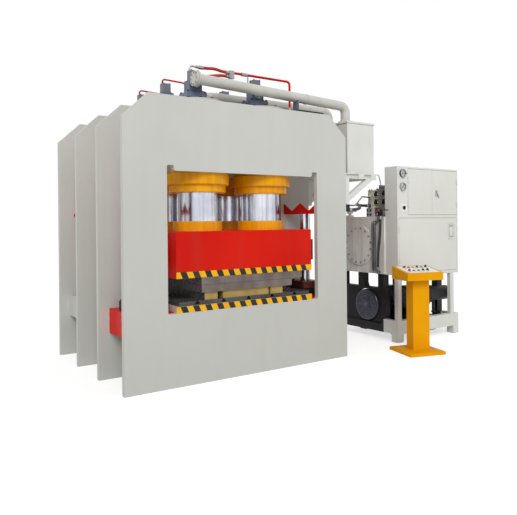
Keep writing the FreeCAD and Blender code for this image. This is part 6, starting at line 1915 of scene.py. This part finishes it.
# ------------------------------------------------------------------ studio
@dataclass
class Studio:
    """Camera, lights, background and floor."""

    eye: Point = (-3.2790, -5.0211, 1.5838)
    yaw: float = math.radians(34.246)
    pitch: float = math.radians(-0.093)
    roll: float = math.radians(-0.527)
    lens: float = 40.07
    sensor: float = 36.0
    shift: float = -0.0675
    sight: float = 100.0
    sky: float = 0.54
    sun: float = 1.68
    sun_way: Point = (0.44, 0.77, -0.60)
    sun_spread: float = math.radians(30)
    floor_glow: float = 0.64
    floor_pale: Colour = (0.88, 0.88, 0.88)
    floor_dull: Colour = (0.84, 0.84, 0.84)
    floor_half: Colour = (0.5, 0.5, 0.5)
    cloud_scale: float = 0.8
    cloud_span: Span = (0.3, 0.7)
    floor_reach: float = 60.0

    def build(self) -> None:
        """Set up the whole studio."""
        scene = bpy.context.scene
        scene.view_settings.view_transform = "Standard"
        self.camera(scene)
        self.background(scene)
        self.key(scene)
        self.floor(scene)

    def camera(self, scene: bpy.types.Scene) -> None:
        """Place the camera at the photograph's viewpoint.

        Args:
            scene: The scene that takes it.
        """
        ahead = Vector((math.sin(self.yaw) * math.cos(self.pitch),
                        math.cos(self.yaw) * math.cos(self.pitch), math.sin(self.pitch)))
        across = Vector((math.cos(self.yaw), -math.sin(self.yaw), 0.0))
        above = across.cross(ahead)
        right = across * math.cos(self.roll) + above * math.sin(self.roll)
        up = above * math.cos(self.roll) - across * math.sin(self.roll)
        turn = Matrix((right, up, -ahead)).transposed().to_4x4()
        data = bpy.data.cameras.new("camera")
        data.lens = self.lens
        data.sensor_width = self.sensor
        data.shift_y = self.shift
        data.clip_end = self.sight
        camera = bpy.data.objects.new("camera", data)
        camera.matrix_world = Matrix.Translation(Vector(self.eye)) @ turn
        scene.collection.objects.link(camera)
        scene.camera = camera

    def background(self, scene: bpy.types.Scene) -> None:
        """Surround the machine with a pale room that is seen and mirrored as white.

        Args:
            scene: The scene that takes it.
        """
        world = bpy.data.worlds.new("studio")
        scene.world = world
        world.use_nodes = True
        nodes, links = world.node_tree.nodes, world.node_tree.links
        nodes.clear()
        lit, seen = nodes.new("ShaderNodeBackground"), nodes.new("ShaderNodeBackground")
        for node, strength in ((lit, self.sky), (seen, 1.0)):
            node.inputs["Color"].default_value = WHITE
            node.inputs["Strength"].default_value = strength
        path = nodes.new("ShaderNodeLightPath")
        mirrored, direct = nodes.new("ShaderNodeMath"), nodes.new("ShaderNodeMath")
        mirrored.operation = direct.operation = "MAXIMUM"
        links.new(path.outputs["Is Glossy Ray"], mirrored.inputs[0])
        links.new(path.outputs["Is Transmission Ray"], mirrored.inputs[1])
        links.new(path.outputs["Is Camera Ray"], direct.inputs[0])
        links.new(mirrored.outputs[0], direct.inputs[1])
        mixer = nodes.new("ShaderNodeMixShader")
        links.new(direct.outputs[0], mixer.inputs[0])
        links.new(lit.outputs[0], mixer.inputs[1])
        links.new(seen.outputs[0], mixer.inputs[2])
        out = nodes.new("ShaderNodeOutputWorld")
        links.new(mixer.outputs[0], out.inputs["Surface"])

    def key(self, scene: bpy.types.Scene) -> None:
        """Add the soft key light from the front left.

        Args:
            scene: The scene that takes it.
        """
        data = bpy.data.lights.new("key", "SUN")
        data.energy = self.sun
        data.angle = self.sun_spread
        key = bpy.data.objects.new("key", data)
        key.rotation_euler = Vector(self.sun_way).to_track_quat("-Z", "Y").to_euler()
        scene.collection.objects.link(key)

    def floor(self, scene: bpy.types.Scene) -> None:
        """Lay a plain pale floor that fades into the white background.

        Args:
            scene: The scene that takes it.
        """
        tree = Tree("floor")
        clouds = tree.spread(tree.noise(self.cloud_scale), *self.cloud_span)
        matt = tree.add("BsdfDiffuse", Color=tree.mix(clouds, self.floor_dull, self.floor_pale))
        seen = tree.add("AddShader")
        tree.put(seen.inputs[0], tree.add("BsdfDiffuse", Color=self.floor_half).outputs[0])
        tree.put(seen.inputs[1], tree.add("Emission", Strength=self.floor_glow).outputs[0])
        path = tree.add("LightPath").outputs
        mirrored = tree.reckon("MAXIMUM", path["Is Glossy Ray"], path["Is Transmission Ray"])
        direct = tree.reckon("MAXIMUM", path["Is Camera Ray"], mirrored)
        tree.add("OutputMaterial", Surface=tree.blend(direct, matt, seen).outputs[0])
        mesh = bpy.data.meshes.new("floor")
        far = self.floor_reach
        mesh.from_pydata([(-far, -far, 0.0), (far, -far, 0.0), (far, far, 0.0), (-far, far, 0.0)], [],
                         [(0, 1, 2, 3)])
        mesh.materials.append(tree.material)
        floor = bpy.data.objects.new("floor", mesh)
        scene.collection.objects.link(floor)


def main() -> None:
    """Build every sub-assembly in order."""
    logging.basicConfig(level=logging.INFO, format="%(name)s: %(message)s")
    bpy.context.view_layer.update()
    Studio().build()
    for assembly in (Frame(), Rams(), Cylinders(), Pipework(), PowerUnit(), Cabinet(), Console()):
        assembly.build()
        LOG.info("%s is complete", type(assembly).__name__)


if __name__ == "__main__":
    main()
